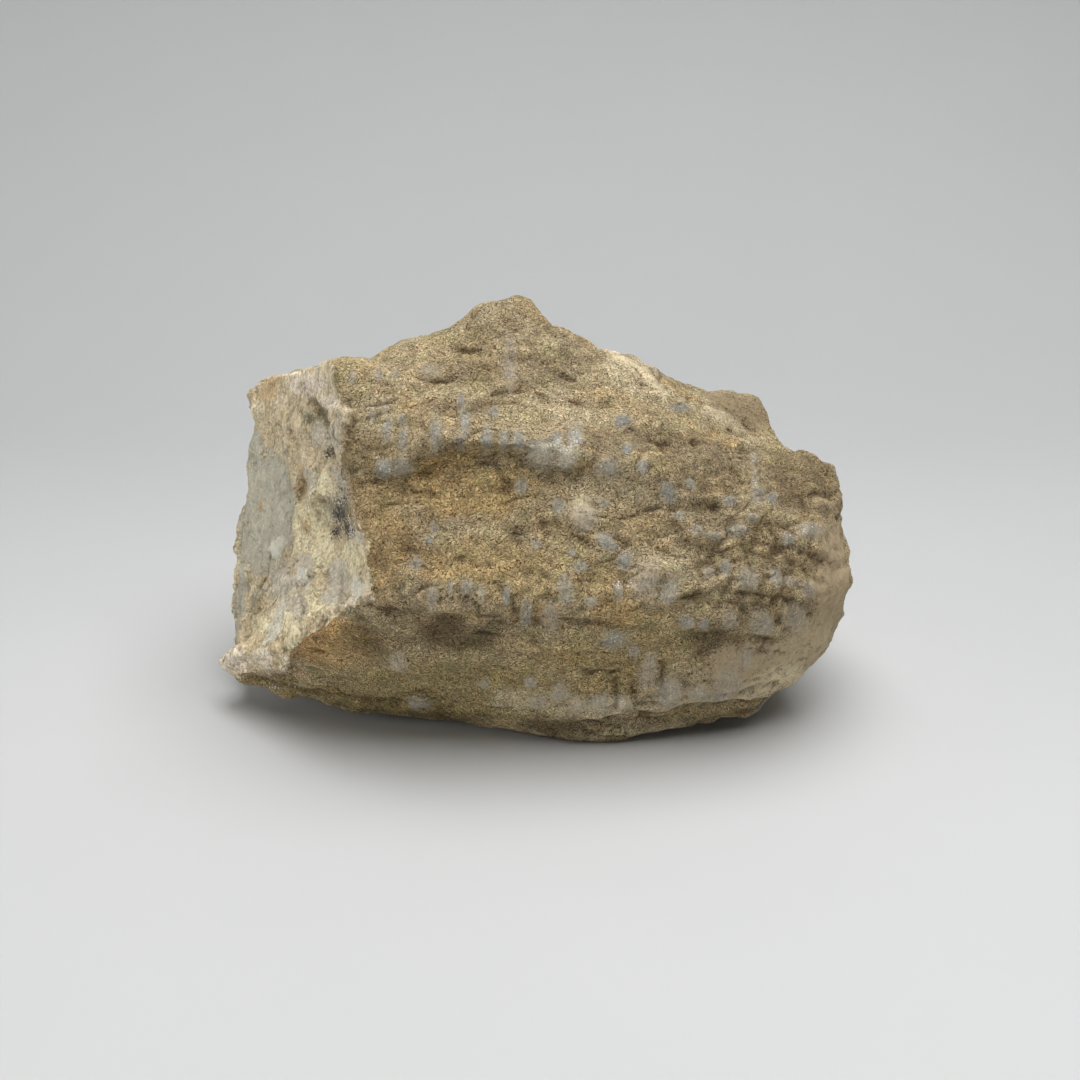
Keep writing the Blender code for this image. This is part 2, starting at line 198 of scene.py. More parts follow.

# Ribs, seams and cracks: points, half width, height, colour, strength.
# A sunk seam's umber is partly painted shade, and it also takes the crevice's painted shade.
SEAMS = [
    ([(309, 400), (316, 412), (324, 424), (331, 440), (334, 455)], 6.0, -1.6, "umber", 1.1),
    ([(345, 412), (340, 446), (332, 472), (322, 492), (310, 520)], 6, 1.2, "chalk", 0.35),
    ([(320, 492), (312, 474), (304, 452)], 4, 0.6, "cream", 0.35),
    ([(286, 420), (288, 450), (291, 482), (297, 512), (294, 534), (280, 560), (266, 584), (252, 612)],
     3.5, 0.6, "cream", 0.5),
    ([(370, 598), (345, 606), (325, 613), (305, 625), (290, 641), (287, 664)], 4, 0.7, "chalk", 0.85),
    ([(226, 666), (250, 666), (286, 668)], 4, 0.5, "chalk", 0.5),
    ([(262, 380), (258, 400), (252, 440), (247, 480)], 4, 0.3, "cream", 0.5),
    ([(303, 466), (299, 484), (296, 500)], 2.5, -0.5, "rust", 0.7),
    ([(268, 556), (264, 580), (254, 600), (246, 612)], 2, -0.6, "moss", 0.5),
    ([(414, 491), (428, 493), (438, 497)], 1.6, -0.4, "umber", 0.7),
    ([(500, 606), (540, 613), (580, 622), (610, 626)], 2, -0.3, "umber", 0.3),
    ([(616, 680), (616, 704)], 2, -0.5, "umber", 0.6),
    ([(633, 682), (634, 706)], 2, -0.4, "umber", 0.5),
    ([(661, 664), (662, 694)], 2, -0.4, "umber", 0.5),
    ([(250, 678), (300, 690), (350, 699), (400, 706)], 2, -0.4, "umber", 0.5),
    ([(677, 712), (715, 706), (755, 700)], 3, -0.4, "umber", 0.5),
    ([(640, 706), (690, 700), (740, 692), (776, 684)], 2, -0.4, "umber", 0.4),
    # These pale bands along the bottom are partly painted light that lifts the shade under the belly.
    ([(500, 698), (570, 706), (620, 707), (680, 702), (730, 695), (792, 674)], 12, 0.0, "cream", 0.7),
    ([(640, 717), (700, 712), (764, 703)], 4, 0.0, "gold", 0.6),
    ([(500, 728), (545, 738), (580, 741), (620, 734), (680, 726)], 4, 0.3, "cream", 0.6),
    ([(606, 352), (626, 364), (646, 380), (664, 396)], 5, 0.7, "cream", 0.6),
    ([(664, 376), (680, 392), (700, 404)], 4, -0.7, "ochre", 0.5),
    ([(672, 392), (700, 408), (722, 419), (738, 428)], 6, 0.4, "cream", 0.45),
    ([(716, 437), (732, 439), (750, 447)], 3, 0.4, "cream", 0.4),
    ([(345, 470), (352, 500), (362, 530)], 3, 0.3, "chalk", 0.35),
    ([(297, 598), (302, 612), (300, 624)], 2, -0.4, "umber", 0.6),
    ([(282, 436), (287, 470), (293, 505), (290, 535), (276, 562), (262, 588)], 2, -0.3, "umber", 0.4),
    ([(336, 566), (330, 584), (318, 598)], 2, -0.3, "umber", 0.4),
    ([(318, 470), (322, 492), (333, 512)], 2, -0.3, "umber", 0.4),
    ([(262, 640), (270, 622), (284, 604)], 2, -0.4, "umber", 0.5),
]

# Where the crust is knobbly with corallites, and where it has upright fibres: across, down,
# half width, half height, strength.
KNOBBLY = [
    (590, 738, 60, 9, 1.0), (766, 566, 96, 60, 1.0), (720, 500, 70, 46, 0.6), (600, 450, 90, 40, 0.6),
    (430, 440, 90, 30, 0.4), (690, 690, 110, 30, 0.6), (560, 590, 150, 22, 0.6),
    (800, 480, 40, 40, 0.6), (560, 345, 60, 30, 0.5),
]
RIBBED = [
    (450, 425, 110, 32, 1.0), (550, 596, 160, 26, 1.0), (660, 690, 120, 30, 1.0),
    (510, 360, 22, 36, 0.8), (760, 600, 90, 60, 0.5), (600, 445, 60, 24, 0.5), (340, 430, 14, 40, 0.6),
]

# Soft patches of colour on the crust, laid one over the other: colour, strength, across,
# down, half width, half height, turn in degrees.
# The gold, ochre and cream patches under the brow and on the belly are partly painted light that lifts
# the crust's shade.
PATCHES = [
    ("ochre", 0.85, 465, 485, 66, 34, 0), ("ochre", 0.55, 378, 540, 34, 66, 0),
    ("gold", 0.75, 540, 580, 120, 26, 4), ("gold", 0.35, 640, 655, 80, 34, 0),
    ("gold", 0.55, 552, 680, 70, 30, 4), ("ochre", 0.4, 470, 560, 70, 24, 0),
    ("olive", 0.45, 450, 690, 130, 36, 4), ("olive", 0.28, 620, 660, 90, 50, 0),
    ("umber", 0.38, 406, 612, 34, 14, 4), ("umber", 0.35, 497, 622, 22, 14, 0),
    ("umber", 0.3, 368, 505, 18, 18, 0), ("umber", 0.40, 391, 548, 28, 22, 0),
    ("umber", 0.8, 458, 636, 46, 15, 8), ("umber", 0.20, 500, 630, 40, 10, 8),
    ("umber", 0.40, 372, 634, 26, 16, 0), ("ochre", 0.55, 622, 614, 34, 16, 0),
    ("ochre", 0.75, 534, 613, 24, 12, 0), ("gold", 0.35, 672, 624, 28, 16, 0),
    ("umber", 0.65, 712, 640, 30, 16, 0), ("umber", 0.35, 604, 668, 14, 5, 0),
    ("cream", 0.25, 562, 672, 28, 10, 0), ("rust", 0.85, 318, 640, 34, 18, -26),
    ("ochre", 0.6, 345, 645, 34, 26, 0), ("umber", 0.4, 362, 640, 24, 20, 0),
    ("umber", 0.3, 262, 681, 40, 9, 12), ("olive", 0.35, 330, 696, 110, 13, 8),
    ("umber", 0.55, 420, 716, 60, 8, 4), ("umber", 0.6, 550, 729, 34, 10, 0),
    ("umber", 0.2, 700, 713, 60, 6, -6), ("gold", 0.6, 470, 480, 70, 22, 0),
    ("umber", 0.15, 420, 455, 60, 22, -12), ("tan", 0.7, 492, 464, 24, 9, 0),
    ("tan", 0.4, 452, 471, 18, 8, 0), ("cream", 0.3, 640, 560, 20, 16, 0),
    ("umber", 0.35, 366, 440, 16, 40, 0), ("umber", 0.3, 470, 372, 60, 14, 0),
    ("umber", 0.3, 560, 376, 30, 12, 20), ("cream", 0.25, 567, 348, 18, 9, 20),
    ("ochre", 0.3, 540, 310, 26, 14, 20), ("cream", 0.30, 560, 412, 60, 22, 0),
    ("gold", 0.3, 640, 352, 50, 10, 28), ("cream", 0.65, 634, 372, 40, 17, 30),
    ("umber", 0.45, 700, 470, 48, 36, 0), ("cream", 0.3, 650, 494, 44, 9, 0),
    ("cream", 0.5, 610, 478, 30, 10, 0), ("cream", 0.4, 576, 479, 22, 8, 0),
    ("cream", 0.35, 684, 504, 18, 8, 0), ("umber", 0.5, 662, 436, 36, 12, 0),
    ("umber", 0.6, 800, 480, 46, 36, 0), ("umber", 0.2, 740, 560, 70, 50, 0),
    ("taupe", 1.0, 738, 410, 42, 22, 14), ("umber", 0.35, 738, 410, 40, 18, 14),
    ("cream", 0.35, 706, 414, 22, 8, 28), ("ochre", 0.6, 722, 440, 16, 7, 14),
    ("cream", 0.5, 752, 441, 20, 7, 22), ("taupe", 0.9, 838, 590, 28, 84, 0),
    ("taupe", 0.8, 812, 655, 36, 40, 30), ("taupe", 0.85, 752, 668, 56, 30, -8),
    ("taupe", 0.6, 822, 504, 18, 10, 0), ("cream", 0.2, 798, 650, 50, 36, 0),
    ("cream", 0.8, 583, 508, 24, 20, 0), ("cream", 0.4, 690, 680, 28, 16, 0),
    ("cream", 0.35, 664, 566, 34, 14, 0), ("cream", 0.45, 362, 421, 32, 20, 0),
    ("cream", 0.35, 475, 322, 26, 8, -20), ("rust", 0.25, 352, 440, 8, 20, 0),
    ("rust", 0.3, 352, 480, 12, 10, 0), ("rust", 0.3, 440, 480, 34, 10, 0),
    ("ochre", 0.4, 440, 468, 36, 9, -10), ("umber", 0.45, 607, 577, 26, 12, 0),
    ("umber", 0.35, 589, 401, 24, 10, 0), ("umber", 0.35, 529, 383, 22, 8, 0),
    ("umber", 0.35, 727, 418, 26, 8, 14), ("umber", 0.4, 796, 562, 38, 13, 0),
    ("umber", 0.35, 696, 540, 26, 10, 0), ("umber", 0.35, 384, 646, 26, 14, 0),
    ("umber", 0.35, 658, 518, 26, 8, 0), ("umber", 0.4, 562, 530, 26, 10, 0),
    ("umber", 0.35, 717, 488, 24, 10, 0), ("rust", 0.25, 560, 660, 30, 12, 0),
]

# The fracture's zones of silica with crisp edges, in the order in which they lie over each
# other: across, down, half width, half height, turn in degrees.
ZONES = {
    "tan": [
        (300, 470, 14, 52, -4), (272, 640, 22, 26, 20), (255, 585, 12, 34, 10), (318, 470, 14, 24, 0),
        (252, 640, 10, 26, 8), (300, 410, 22, 12, 0), (272, 425, 12, 20, 0),
    ],
    "sage": [(267, 512, 31, 62, 4), (254, 466, 8, 40, 2), (262, 548, 22, 22, 0), (240, 600, 5, 40, 4)],
    "straw": [
        (316, 532, 17, 28, 0), (322, 560, 12, 18, 0), (318, 604, 13, 16, 24), (287, 594, 6, 7, 0),
        (292, 622, 16, 12, -20),
        (260, 622, 8, 10, 20), (352, 560, 12, 22, 0), (296, 640, 9, 12, -30), (325, 484, 9, 16, 0),
        (362, 556, 6, 12, 0), (300, 520, 5, 26, -4),
    ],
    "grey": [
        (298, 606, 8, 18, -10), (282, 582, 14, 20, 10), (318, 434, 11, 14, 0), (338, 578, 13, 20, 0),
        (312, 482, 8, 16, 0), (341, 432, 5, 18, 4), (344, 486, 6, 22, -8), (356, 532, 8, 14, -20),
        (262, 470, 6, 10, 0), (330, 598, 12, 8, 0), (306, 566, 10, 14, 0),
    ],
    "ice": [(274, 622, 8, 26, 22), (360, 588, 9, 12, 0), (302, 578, 6, 12, 0), (278, 546, 7, 14, 30)],
    "chalk": [
        (308, 384, 20, 12, 0), (234, 662, 16, 13, 0), (288, 580, 7, 5, 0), (262, 656, 12, 8, 0),
        (328, 404, 12, 10, 0), (352, 602, 10, 5, -24),
    ],
    "rust": [(266, 388, 15, 13, -20), (300, 480, 3, 16, 0), (262, 506, 3, 5, 0), (306, 526, 5, 6, 0)],
    "moss": [(257, 598, 6, 15, 24), (331, 508, 12, 12, 0), (309, 418, 5, 7, 0), (322, 416, 6, 9, -30)],
    "soot": [(341, 513, 9, 18, 14), (336, 532, 4, 7, 0), (348, 528, 5, 10, 0), (327, 452, 4, 5, 0)],
}

# Each zone colour's strength, how gritty its edge is, and how smooth its silica is.
ZONE_LOOKS = {
    "tan": (0.80, 0.5, 0), "sage": (0.85, 0.2, 1.0), "straw": (0.90, 0.5, 0), "grey": (0.75, 0.3, 0.4),
    "ice": (0.85, 0.2, 0.5), "chalk": (0.85, 0.3, 0), "rust": (0.60, 0.8, 0), "moss": (0.75, 1.0, 0),
    "soot": (1.00, 1.2, 0),
}

# Where the outline is moved: across, down, reach, then how far to the right and down.
NUDGES = [
    (247, 432, 34, 9, 0), (240, 508, 26, 5, 0), (506, 293, 16, 0, 5), (478, 309, 14, 0, -4),
    (532, 304, 12, 0, -3), (372, 350, 40, 0, 7), (655, 374, 20, 0, -6), (604, 344, 30, 0, 5),
    (230, 662, 34, -9, -5), (238, 640, 22, -6, 0), (231, 540, 24, 8, 0), (243, 572, 16, -6, 0),
    (245, 684, 28, 0, 11), (282, 692, 36, 0, 13), (318, 698, 26, 0, 5), (560, 322, 34, 0, 4),
    (606, 344, 30, 0, 3), (812, 456, 26, 0, -6), (838, 498, 20, 6, 0), (846, 616, 16, 4, 0),
    (658, 736, 40, 0, -6), (715, 724, 34, 0, -6), (824, 648, 24, 6, 0), (258, 442, 16, -5, 0),
]

# The hidden sides' features, in millimetres.

# Chip scars: a point on each, the way it faces, and how fresh it is.
CHIP_SCARS = [
    ((-59.8, 24.6, 56), (-0.38, 0.92, -0.05), 0.9),
    ((-12.3, 30.1, 65), (-0.15, 0.62, 0.77), 0.35),
    ((15.7, 33.6, 57), (0.22, 0.80, 0.55), 0.9),
    ((1.7, 39.1, 30), (-0.12, 0.99, -0.10), 0.3),
    ((39.7, 31.6, 18), (0.42, 0.74, -0.52), 0.8),
    ((-14.3, 29.6, 7), (-0.30, 0.55, -0.78), 0.2),
    ((51.7, 24.6, 38), (0.72, 0.66, 0.20), 0.25),
]
SCAR_REACH = 0.9
# How much of the hidden silica each zone colour covers falls with its place in the list, and
# falls further for the two rarest colours.
ZONE_THRESHOLD = 0.12
ZONE_THRESHOLD_STEP = 0.055
RARE_ZONES = ("moss", "soot")
RARE_THRESHOLD = 0.2

# Windows lie in level bands and are no closer than their spacing. Each size is drawn between
# two numbers.
HIDDEN_SEED = 11
HIDDEN_WINDOWS = 220
WINDOW_SPACING = 4.6
WINDOW_HALF_WIDTHS = (0.8, 1.9)
WINDOW_TALLNESS = (1.0, 2.4)
WINDOW_RISES = (0.2, 0.6)
WINDOW_DEPTH = 3
WINDOW_REACH = 6
LOWEST_WINDOW = 4
BAND_SPACING = 13.5
BAND_REACH = 4.2
BAND_WAVES = 3

# A point belongs to the front where the front view sees it better than this.
SEEN = 0.05
SOFTENINGS = 6
CORALLITE_SPACING = 4.4
CORALLITE_STRETCH = (1.1, 1.1, 0.9)
FRACTURE_FACING = (-0.87, -0.49, 0)
# Points below the rest height lie on the ground. The relief fades out below the rest margin.
REST_HEIGHT = 0.35
REST_MARGIN = 2.5


def colour(name, description, default):
    """A colour that a user can change."""
    return FloatVectorProperty(
        name=name, description=description, subtype="COLOR", size=3, min=0, max=1, default=default
    )


def power(name, description, default):
    """A light's power in watts."""
    return FloatProperty(name=name, description=description, default=default, unit="POWER")


def length(name, description, default):
    """A length that a user can change, given in millimetres."""
    return FloatProperty(
        name=name, description=description, default=default * MM, unit="LENGTH", precision=5
    )


def factor(name, description, default):
    """A strength that a user can change, from 0 to 2."""
    return FloatProperty(
        name=name, description=description, default=default, subtype="FACTOR", min=0, max=2
    )


class CoralSettings(bpy.types.PropertyGroup):
    """Sizes and colours of the block."""

    spacing: length("Mesh spacing", "Distance between the surface's points", 0.70)
    grain: length("Grain", "Size of one sand grain of the crust", 0.25)
    relief: factor("Relief", "How strongly ledges, knobs and pits stand out", 1.0)
    crumble: length("Crumble", "Height of the crust's small crumbs", 0.22)
    sand: colour("Sand", "The crust where nothing stains it", (0.54, 0.43, 0.265))
    gold: colour("Gold", "Clean yellowish sand", (0.66, 0.50, 0.25))
    ochre: colour("Ochre", "Iron-stained sand", (0.70, 0.465, 0.19))
    rust: colour("Rust", "Strong iron stains", (0.53, 0.31, 0.11))
    umber: colour("Umber", "Dirt and dark crust", (0.145, 0.092, 0.032))
    olive: colour("Olive", "Damp, greenish crust", (0.47, 0.36, 0.115))
    taupe: colour("Taupe", "The smooth rounded end", (0.42, 0.32, 0.19))
    tan: colour("Tan", "Weathered fracture", (0.66, 0.53, 0.32))
    cream: colour("Cream", "Bare pale silica", (0.80, 0.675, 0.45))
    straw: colour("Straw", "Yellowish crumbly silica", (0.90, 0.785, 0.49))
    chalk: colour("Chalk", "Pinkish white crystals", (0.93, 0.80, 0.63))
    sage: colour("Sage", "Grey-green chert", (0.45, 0.435, 0.345))
    moss: colour("Moss", "Dark greenish chert", (0.31, 0.29, 0.20))
    grey: colour("Grey", "Translucent grey chert", (0.58, 0.53, 0.43))
    ice: colour("Ice", "Bluish white silica", (0.80, 0.76, 0.62))
    soot: colour("Soot", "Black manganese stain", (0.050, 0.039, 0.024))
    blue: colour("Blue-grey window", "Chalcedony", (0.295, 0.312, 0.285))
    lavender: colour("Lavender window", "Pinkish chalcedony", (0.345, 0.295, 0.225))


class StageSettings(bpy.types.PropertyGroup):
    """Floor, light and camera."""

    floor: colour("Floor", "The sweep's colour under the block", (0.62, 0.625, 0.625))
    wall: colour("Wall", "The sweep's colour behind the block", (0.455, 0.462, 0.46))
    overhead: power("Overhead light", "Power of the soft light above", 7.85)
    side: power("Side light", "Power of the fill that lights the fracture", 1.45)
    front: power("Front light", "Power of the fill from the front", 0.50)
    surround: factor("Surround", "Strength of the room's even light", 0.03)
    horizon: factor("Horizon", "Strength of the room's light at the horizon", 0.18)


# Numbers over the mesh.

HALF = Vector((0.5, 0.5, 0.5))


def ramp(values, low, high):
    """0 below low, 1 above high, and smooth between."""
    share = np.clip((values - low) / (high - low), 0, 1)
    return share * share * (3 - 2 * share)


def three_each(layer, key):
    """The three numbers that the mesh holds for each point, one row each."""
    flat = np.empty(len(layer) * 3, np.float32)
    layer.foreach_get(key, flat)
    return flat.reshape(-1, 3).astype(float)


def coordinates(mesh):
    """The mesh's points in millimetres, one row each."""
    return three_each(mesh.vertices, "co") / MM


def place_points(mesh, points):
    """Moves the mesh's points to these places in millimetres."""
    mesh.vertices.foreach_set("co", (points * MM).astype(np.float32).ravel())
    mesh.update()


def cloudy(points, wavelength, seed, octaves=2, stretch=(1, 1, 1)):
    """Noise from about -1 to 1, with patches of the wavelength in millimetres."""
    shift = np.array([seed * 13.7, seed * 5.3, seed * 9.1])
    places = points / (wavelength * np.array(stretch)) + shift
    return np.array([noise.fractal(place, 1.0, 2.0, octaves) for place in places.tolist()])


def ridged(points, wavelength, seed, stretch):
    """Noise from about 0 to 1 with sharp ridges."""
    places = points / (wavelength * np.array(stretch)) + seed * 7.9
    return np.array([1 - abs(noise.noise(place)) * 2 for place in places.tolist()])


def faceted(points, size, seed):
    """Chipped facets: each cell of this size is a plane with a tilt of its own, about 0."""
    heights = []
    for place in (points / size + seed * 3.1).tolist():
        nearest = noise.voronoi(place)[1][0]
        tilt = noise.cell_vector(nearest * 17.3)
        heights.append((Vector(place) - nearest).dot(tilt) - (Vector(place) - nearest).dot(HALF))
    return np.array(heights)


def knobby(points, size, seed, stretch):
    """Rounded knobs: 1 on each knob and 0 in the gaps between them."""
    distances = []
    for place in (points / (size * np.array(stretch)) + seed * 3.1).tolist():
        first, second = noise.voronoi(place)[0][:2]
        distances.append(second - first)
    return ramp(np.array(distances), 0, 0.55)


def edge_ends(mesh):
    """The two points of each edge."""
    flat = np.empty(len(mesh.edges) * 2, np.int32)
    mesh.edges.foreach_get("vertices", flat)
    return flat.reshape(-1, 2)


def blurred(values, ends, rounds):
    """Values averaged with those of the points around them, so many times."""
    both = np.concatenate([ends[:, 0], ends[:, 1]])
    other = np.concatenate([ends[:, 1], ends[:, 0]])
    count = np.maximum(np.bincount(both, minlength=len(values)), 1)
    for _ in range(rounds):
        around = np.bincount(both, values[other], minlength=len(values)) / count
        values = (values + around) / 2
    return values


# The front view.


def view_point():
    """Where the front view is seen from, in millimetres."""
    back = VIEW_DISTANCE * math.cos(VIEW_TILT)
    up = VIEW_DISTANCE * math.sin(VIEW_TILT)
    return np.array(VIEW_TARGET) + (0, -back, up)


def front_pixels(points):
    """Each point's place in the front view, across and down."""
    away = points - view_point()
    depth = away[:, 1] * math.cos(VIEW_TILT) - away[:, 2] * math.sin(VIEW_TILT)
    up = away[:, 1] * math.sin(VIEW_TILT) + away[:, 2] * math.cos(VIEW_TILT)
    scale = FRAME_SIDE / 2 / math.tan(VIEW_ANGLE / 2) / depth
    return FRAME_SIDE / 2 + away[:, 0] * scale, FRAME_SIDE / 2 - up * scale


def towards_view(points, normals):
    """How squarely each point faces the front view, from -1 to 1."""
    sight = view_point() - points
    sight /= np.linalg.norm(sight, axis=1, keepdims=True)
    return (sight * normals).sum(axis=1)


def oval(across, down, x, y, half_width, half_height, turn=0):
    """How far inside an oval each place is: 1 in its middle, 0 on its edge, less outside."""
    angle = math.radians(turn)
    dx = across - x
    dy = down - y
    along = dx * math.cos(angle) + dy * math.sin(angle)
    over = dy * math.cos(angle) - dx * math.sin(angle)
    return 1 - np.hypot(along / half_width, over / half_height)


def line_distance(across, down, points, closed=False):
    """Distance in pixels to a line through the points."""
    ends = points[1:] + points[:1] if closed else points[1:]
    nearest = np.full(len(across), np.inf)
    for (x0, y0), (x1, y1) in zip(points, ends):
        dx, dy = x1 - x0, y1 - y0
        share = np.clip(((across - x0) * dx + (down - y0) * dy) / (dx * dx + dy * dy), 0, 1)
        nearest = np.minimum(nearest, np.hypot(across - x0 - share * dx, down - y0 - share * dy))
    return nearest


def inside(across, down, outline):
    """Which places lie inside the outline."""
    found = np.zeros(len(across), bool)
    for (x0, y0), (x1, y1) in zip(outline, outline[1:] + outline[:1]):
        if y0 == y1:
            continue
        crosses = (y0 > down) != (y1 > down)
        found ^= crosses & (across < (x1 - x0) * (down - y0) / (y1 - y0) + x0)
    return found


LEDGE_RUN_IN = 12
LEDGE_RUN_OUT = 8
LIP_SHARPNESS = 0.35


def below_ledge(across, down, ledge):
    """Millimetres below the ledge's line, and how much of the ledge is left near its ends."""
    xs, ys = zip(*ledge[0])
    below = (down - np.interp(across, xs, ys)) * PIXEL
    started = ramp(across, xs[0] - LEDGE_RUN_OUT, xs[0] + LEDGE_RUN_IN)
    ended = ramp(across, xs[-1] - LEDGE_RUN_IN, xs[-1] + LEDGE_RUN_OUT)
    return below, started * (1 - ended)


def ledge_height(across, down, ledge, uneven):
    """A lip over a groove along the ledge's line."""
    _, lip, groove, reach_up, reach_down = ledge
    below, taper = below_ledge(across, down, ledge)
    under = 1 / (1 + np.exp(-np.clip(below / LIP_SHARPNESS, -30, 30)))
    out = lip * np.exp(np.minimum(below, 0) / reach_up)
    back = groove * np.exp(-np.maximum(below, 0) / reach_down)
    return taper * uneven * (out * (1 - under) - back * under)


def patched(across, down, patches):
    """The strongest of the patches at each place."""
    most = np.zeros(len(across))
    for x, y, half_width, half_height, strength in patches:
        here = oval(across, down, x, y, half_width, half_height)
        most = np.maximum(most, strength * ramp(here, -0.1, 0.4))
    return most


# The block's skin.


class Skin:
    """The block's surface points, the way they face, and where the front view sees them."""

    def __init__(self, mesh):
        self.points = coordinates(mesh)
        self.normals = three_each(mesh.vertex_normals, "vector")
        self.ends = edge_ends(mesh)
        self.front = ramp(towards_view(self.points, self.normals), -0.02, 0.12)
        self.seen = self.front > SEEN
        self.across, self.down = front_pixels(self.points)

    def cloudy(self, wavelength, seed, octaves=2, stretch=(1, 1, 1)):
        """Noise over the skin's points."""
        return cloudy(self.points, wavelength, seed, octaves, stretch)

    def strayed(self, distance, wavelength, seed):
        """Places in the front view, shifted by noise of so many pixels."""
        across = self.across + distance * self.cloudy(wavelength, seed)
        down = self.down + distance * self.cloudy(wavelength, seed + 1)
        return across, down

    def corallites(self):
        """The crust's corallite knobs: 1 on each and 0 in the gaps between them."""
        return knobby(self.points, CORALLITE_SPACING, 79, CORALLITE_STRETCH)

    def climb(self):
        """Height along the growth bands, which wave up and down."""
        return self.points[:, 2] + BAND_WAVES * self.cloudy(26, seed=41)


def merged_copy(node):
    """The CAD solid's mesh with its loose triangles joined."""
    bm = bmesh.new()
    bm.from_mesh(node.data)
    bmesh.ops.remove_doubles(bm, verts=bm.verts, dist=0.001 * MM)
    mesh = bpy.data.meshes.new("merged")
    bm.to_mesh(mesh)
    bm.free()
    return mesh


def remeshed(mesh, spacing):
    """The same shape in small, even faces."""
    solid = bpy.data.objects.new("remesh", mesh)
    bpy.context.scene.collection.objects.link(solid)
    even = solid.modifiers.new("Even", "REMESH")
    even.mode = "VOXEL"
    even.voxel_size = spacing
    evaluated = solid.evaluated_get(bpy.context.evaluated_depsgraph_get())
    fine = bpy.data.meshes.new_from_object(evaluated)
    bpy.data.objects.remove(solid)
    return fine


def nudged(mesh):
    """Moves the outline a little, as the front view shows it."""
    points = coordinates(mesh)
    across, down = front_pixels(points)
    lowering = np.array((0, -math.sin(VIEW_TILT), -math.cos(VIEW_TILT)))
    for x, y, reach, right, lower in NUDGES:
        share = ramp(1 - np.hypot(across - x, down - y) / reach, 0, 1)[:, None]
        points += share * (np.array((right, 0, 0)) + lower * lowering) * PIXEL
    points[:, 2] = np.maximum(points[:, 2], 0)
    place_points(mesh, points)


def softened(mesh):
    """Rounds the facets off."""
    bm = bmesh.new()
    bm.from_mesh(mesh)
    for _ in range(SOFTENINGS):
        bmesh.ops.smooth_vert(
            bm, verts=bm.verts, factor=0.5, use_axis_x=True, use_axis_y=True, use_axis_z=True
        )
    bm.to_mesh(mesh)
    bm.free()


def fracture_field(skin):
    """Millimetres into the fresh fracture from its rim; below zero outside it."""
    across, down = skin.strayed(5.0, 5.0, seed=21)
    near_across, near_down = skin.strayed(3.0, 1.8, seed=23)
    across += near_across - skin.across
    down += near_down - skin.down
    rim = line_distance(across, down, FRACTURE, closed=True) * PIXEL
    field = np.where(inside(across, down, FRACTURE), rim, -rim)
    outwards = skin.normals @ np.array(FRACTURE_FACING)
    return np.minimum(field, (outwards - 0.30) * 10)


def scar_field(skin):
    """Like the fracture's field, for the fresh chip scars of the hidden sides."""
    ragged = skin.cloudy(6, seed=31, octaves=3)
    field = np.full(len(skin.points), -3.0)
    for place, facing, fresh in CHIP_SCARS:
        way = np.array(facing) / np.linalg.norm(facing)
        off = np.abs((skin.points - place) @ way)
        square = ramp(skin.normals @ way, 0.90, 0.97)
        here = (SCAR_REACH - off) * 2 + 1.6 * ragged + fresh * 2 - 2.2
        field = np.maximum(field, np.where(square > 0, here * square - 3 * (1 - square), -3))
    return field


class Windows:
    """How far inside a window each point is, its knob's height and its tint."""

    def __init__(self, count):
        self.field = np.full(count, -1.0)
        self.knob = np.zeros(count)
        self.tint = np.zeros(count)

    def add(self, near, here, rise, lavender):
        """Adds a window at the points that near picks."""
        self.knob[near] = np.maximum(self.knob[near], rise * ramp(here, -0.6, 0.8))
        self.tint[near] = np.where(here > self.field[near], lavender, self.tint[near])
        self.field[near] = np.maximum(self.field[near], here)


def hidden_seeds(skin, draw):
    """Points of the hidden sides that carry windows, in loose bands."""
    band = np.abs(skin.climb() % BAND_SPACING - BAND_SPACING / 2)
    high = skin.points[:, 2] > LOWEST_WINDOW
    free = np.flatnonzero((skin.front < SEEN) & high & (band < BAND_REACH))
    seeds = []
    while len(seeds) < HIDDEN_WINDOWS and len(free):
        pick = int(free[draw.randrange(len(free))])
        seeds.append(pick)
        apart = np.linalg.norm(skin.points[free] - skin.points[pick], axis=1)
        free = free[apart > WINDOW_SPACING * draw.uniform(0.8, 1.5)]
    return seeds


def hidden_windows(skin):
    """Windows of the hidden sides, each an upright oval on the skin."""
    draw = random.Random(HIDDEN_SEED)
    windows = Windows(len(skin.points))
    for seed in hidden_seeds(skin, draw):
        normal = skin.normals[seed]
        level = np.cross(normal, (0, 0, 1))
        level /= max(np.linalg.norm(level), 1e-6)
        upright = np.cross(level, normal)
        half_width = draw.uniform(*WINDOW_HALF_WIDTHS)
        half_height = half_width * draw.uniform(*WINDOW_TALLNESS)
        rise = draw.uniform(*WINDOW_RISES)
        lavender = draw.random()
        away = skin.points - skin.points[seed]
        near = np.flatnonzero(np.abs(away).max(axis=1) < WINDOW_REACH)
        away = away[near]
        share = np.sqrt(
            (away @ level / half_width) ** 2
            + (away @ upright / half_height) ** 2
            + (away @ normal / WINDOW_DEPTH) ** 2
        )
        windows.add(near, 1 - share, rise, lavender)
    return windows


def front_windows(skin):
    """Windows of the front."""
    across, down = skin.strayed(1.6, 1.8, seed=51)
    windows = Windows(len(skin.points))
    for x, y, half_width, half_height, turn, rise, lavender in WINDOWS:
        here = oval(across, down, x, y, half_width, half_height, turn)
        windows.add(slice(None), here, rise, lavender)
    return windows


def all_windows(skin, bare):
    """Windows of every side. There are none where the silica is bare."""
    front = front_windows(skin)
    hidden = hidden_windows(skin)
    windows = Windows(len(skin.points))
    windows.field = np.where(skin.seen, front.field, hidden.field) * (1 - bare) - bare
    windows.knob = np.where(skin.seen, front.knob * skin.front, hidden.knob) * (1 - bare)
    windows.tint = np.where(skin.seen, front.tint, hidden.tint)
    return windows


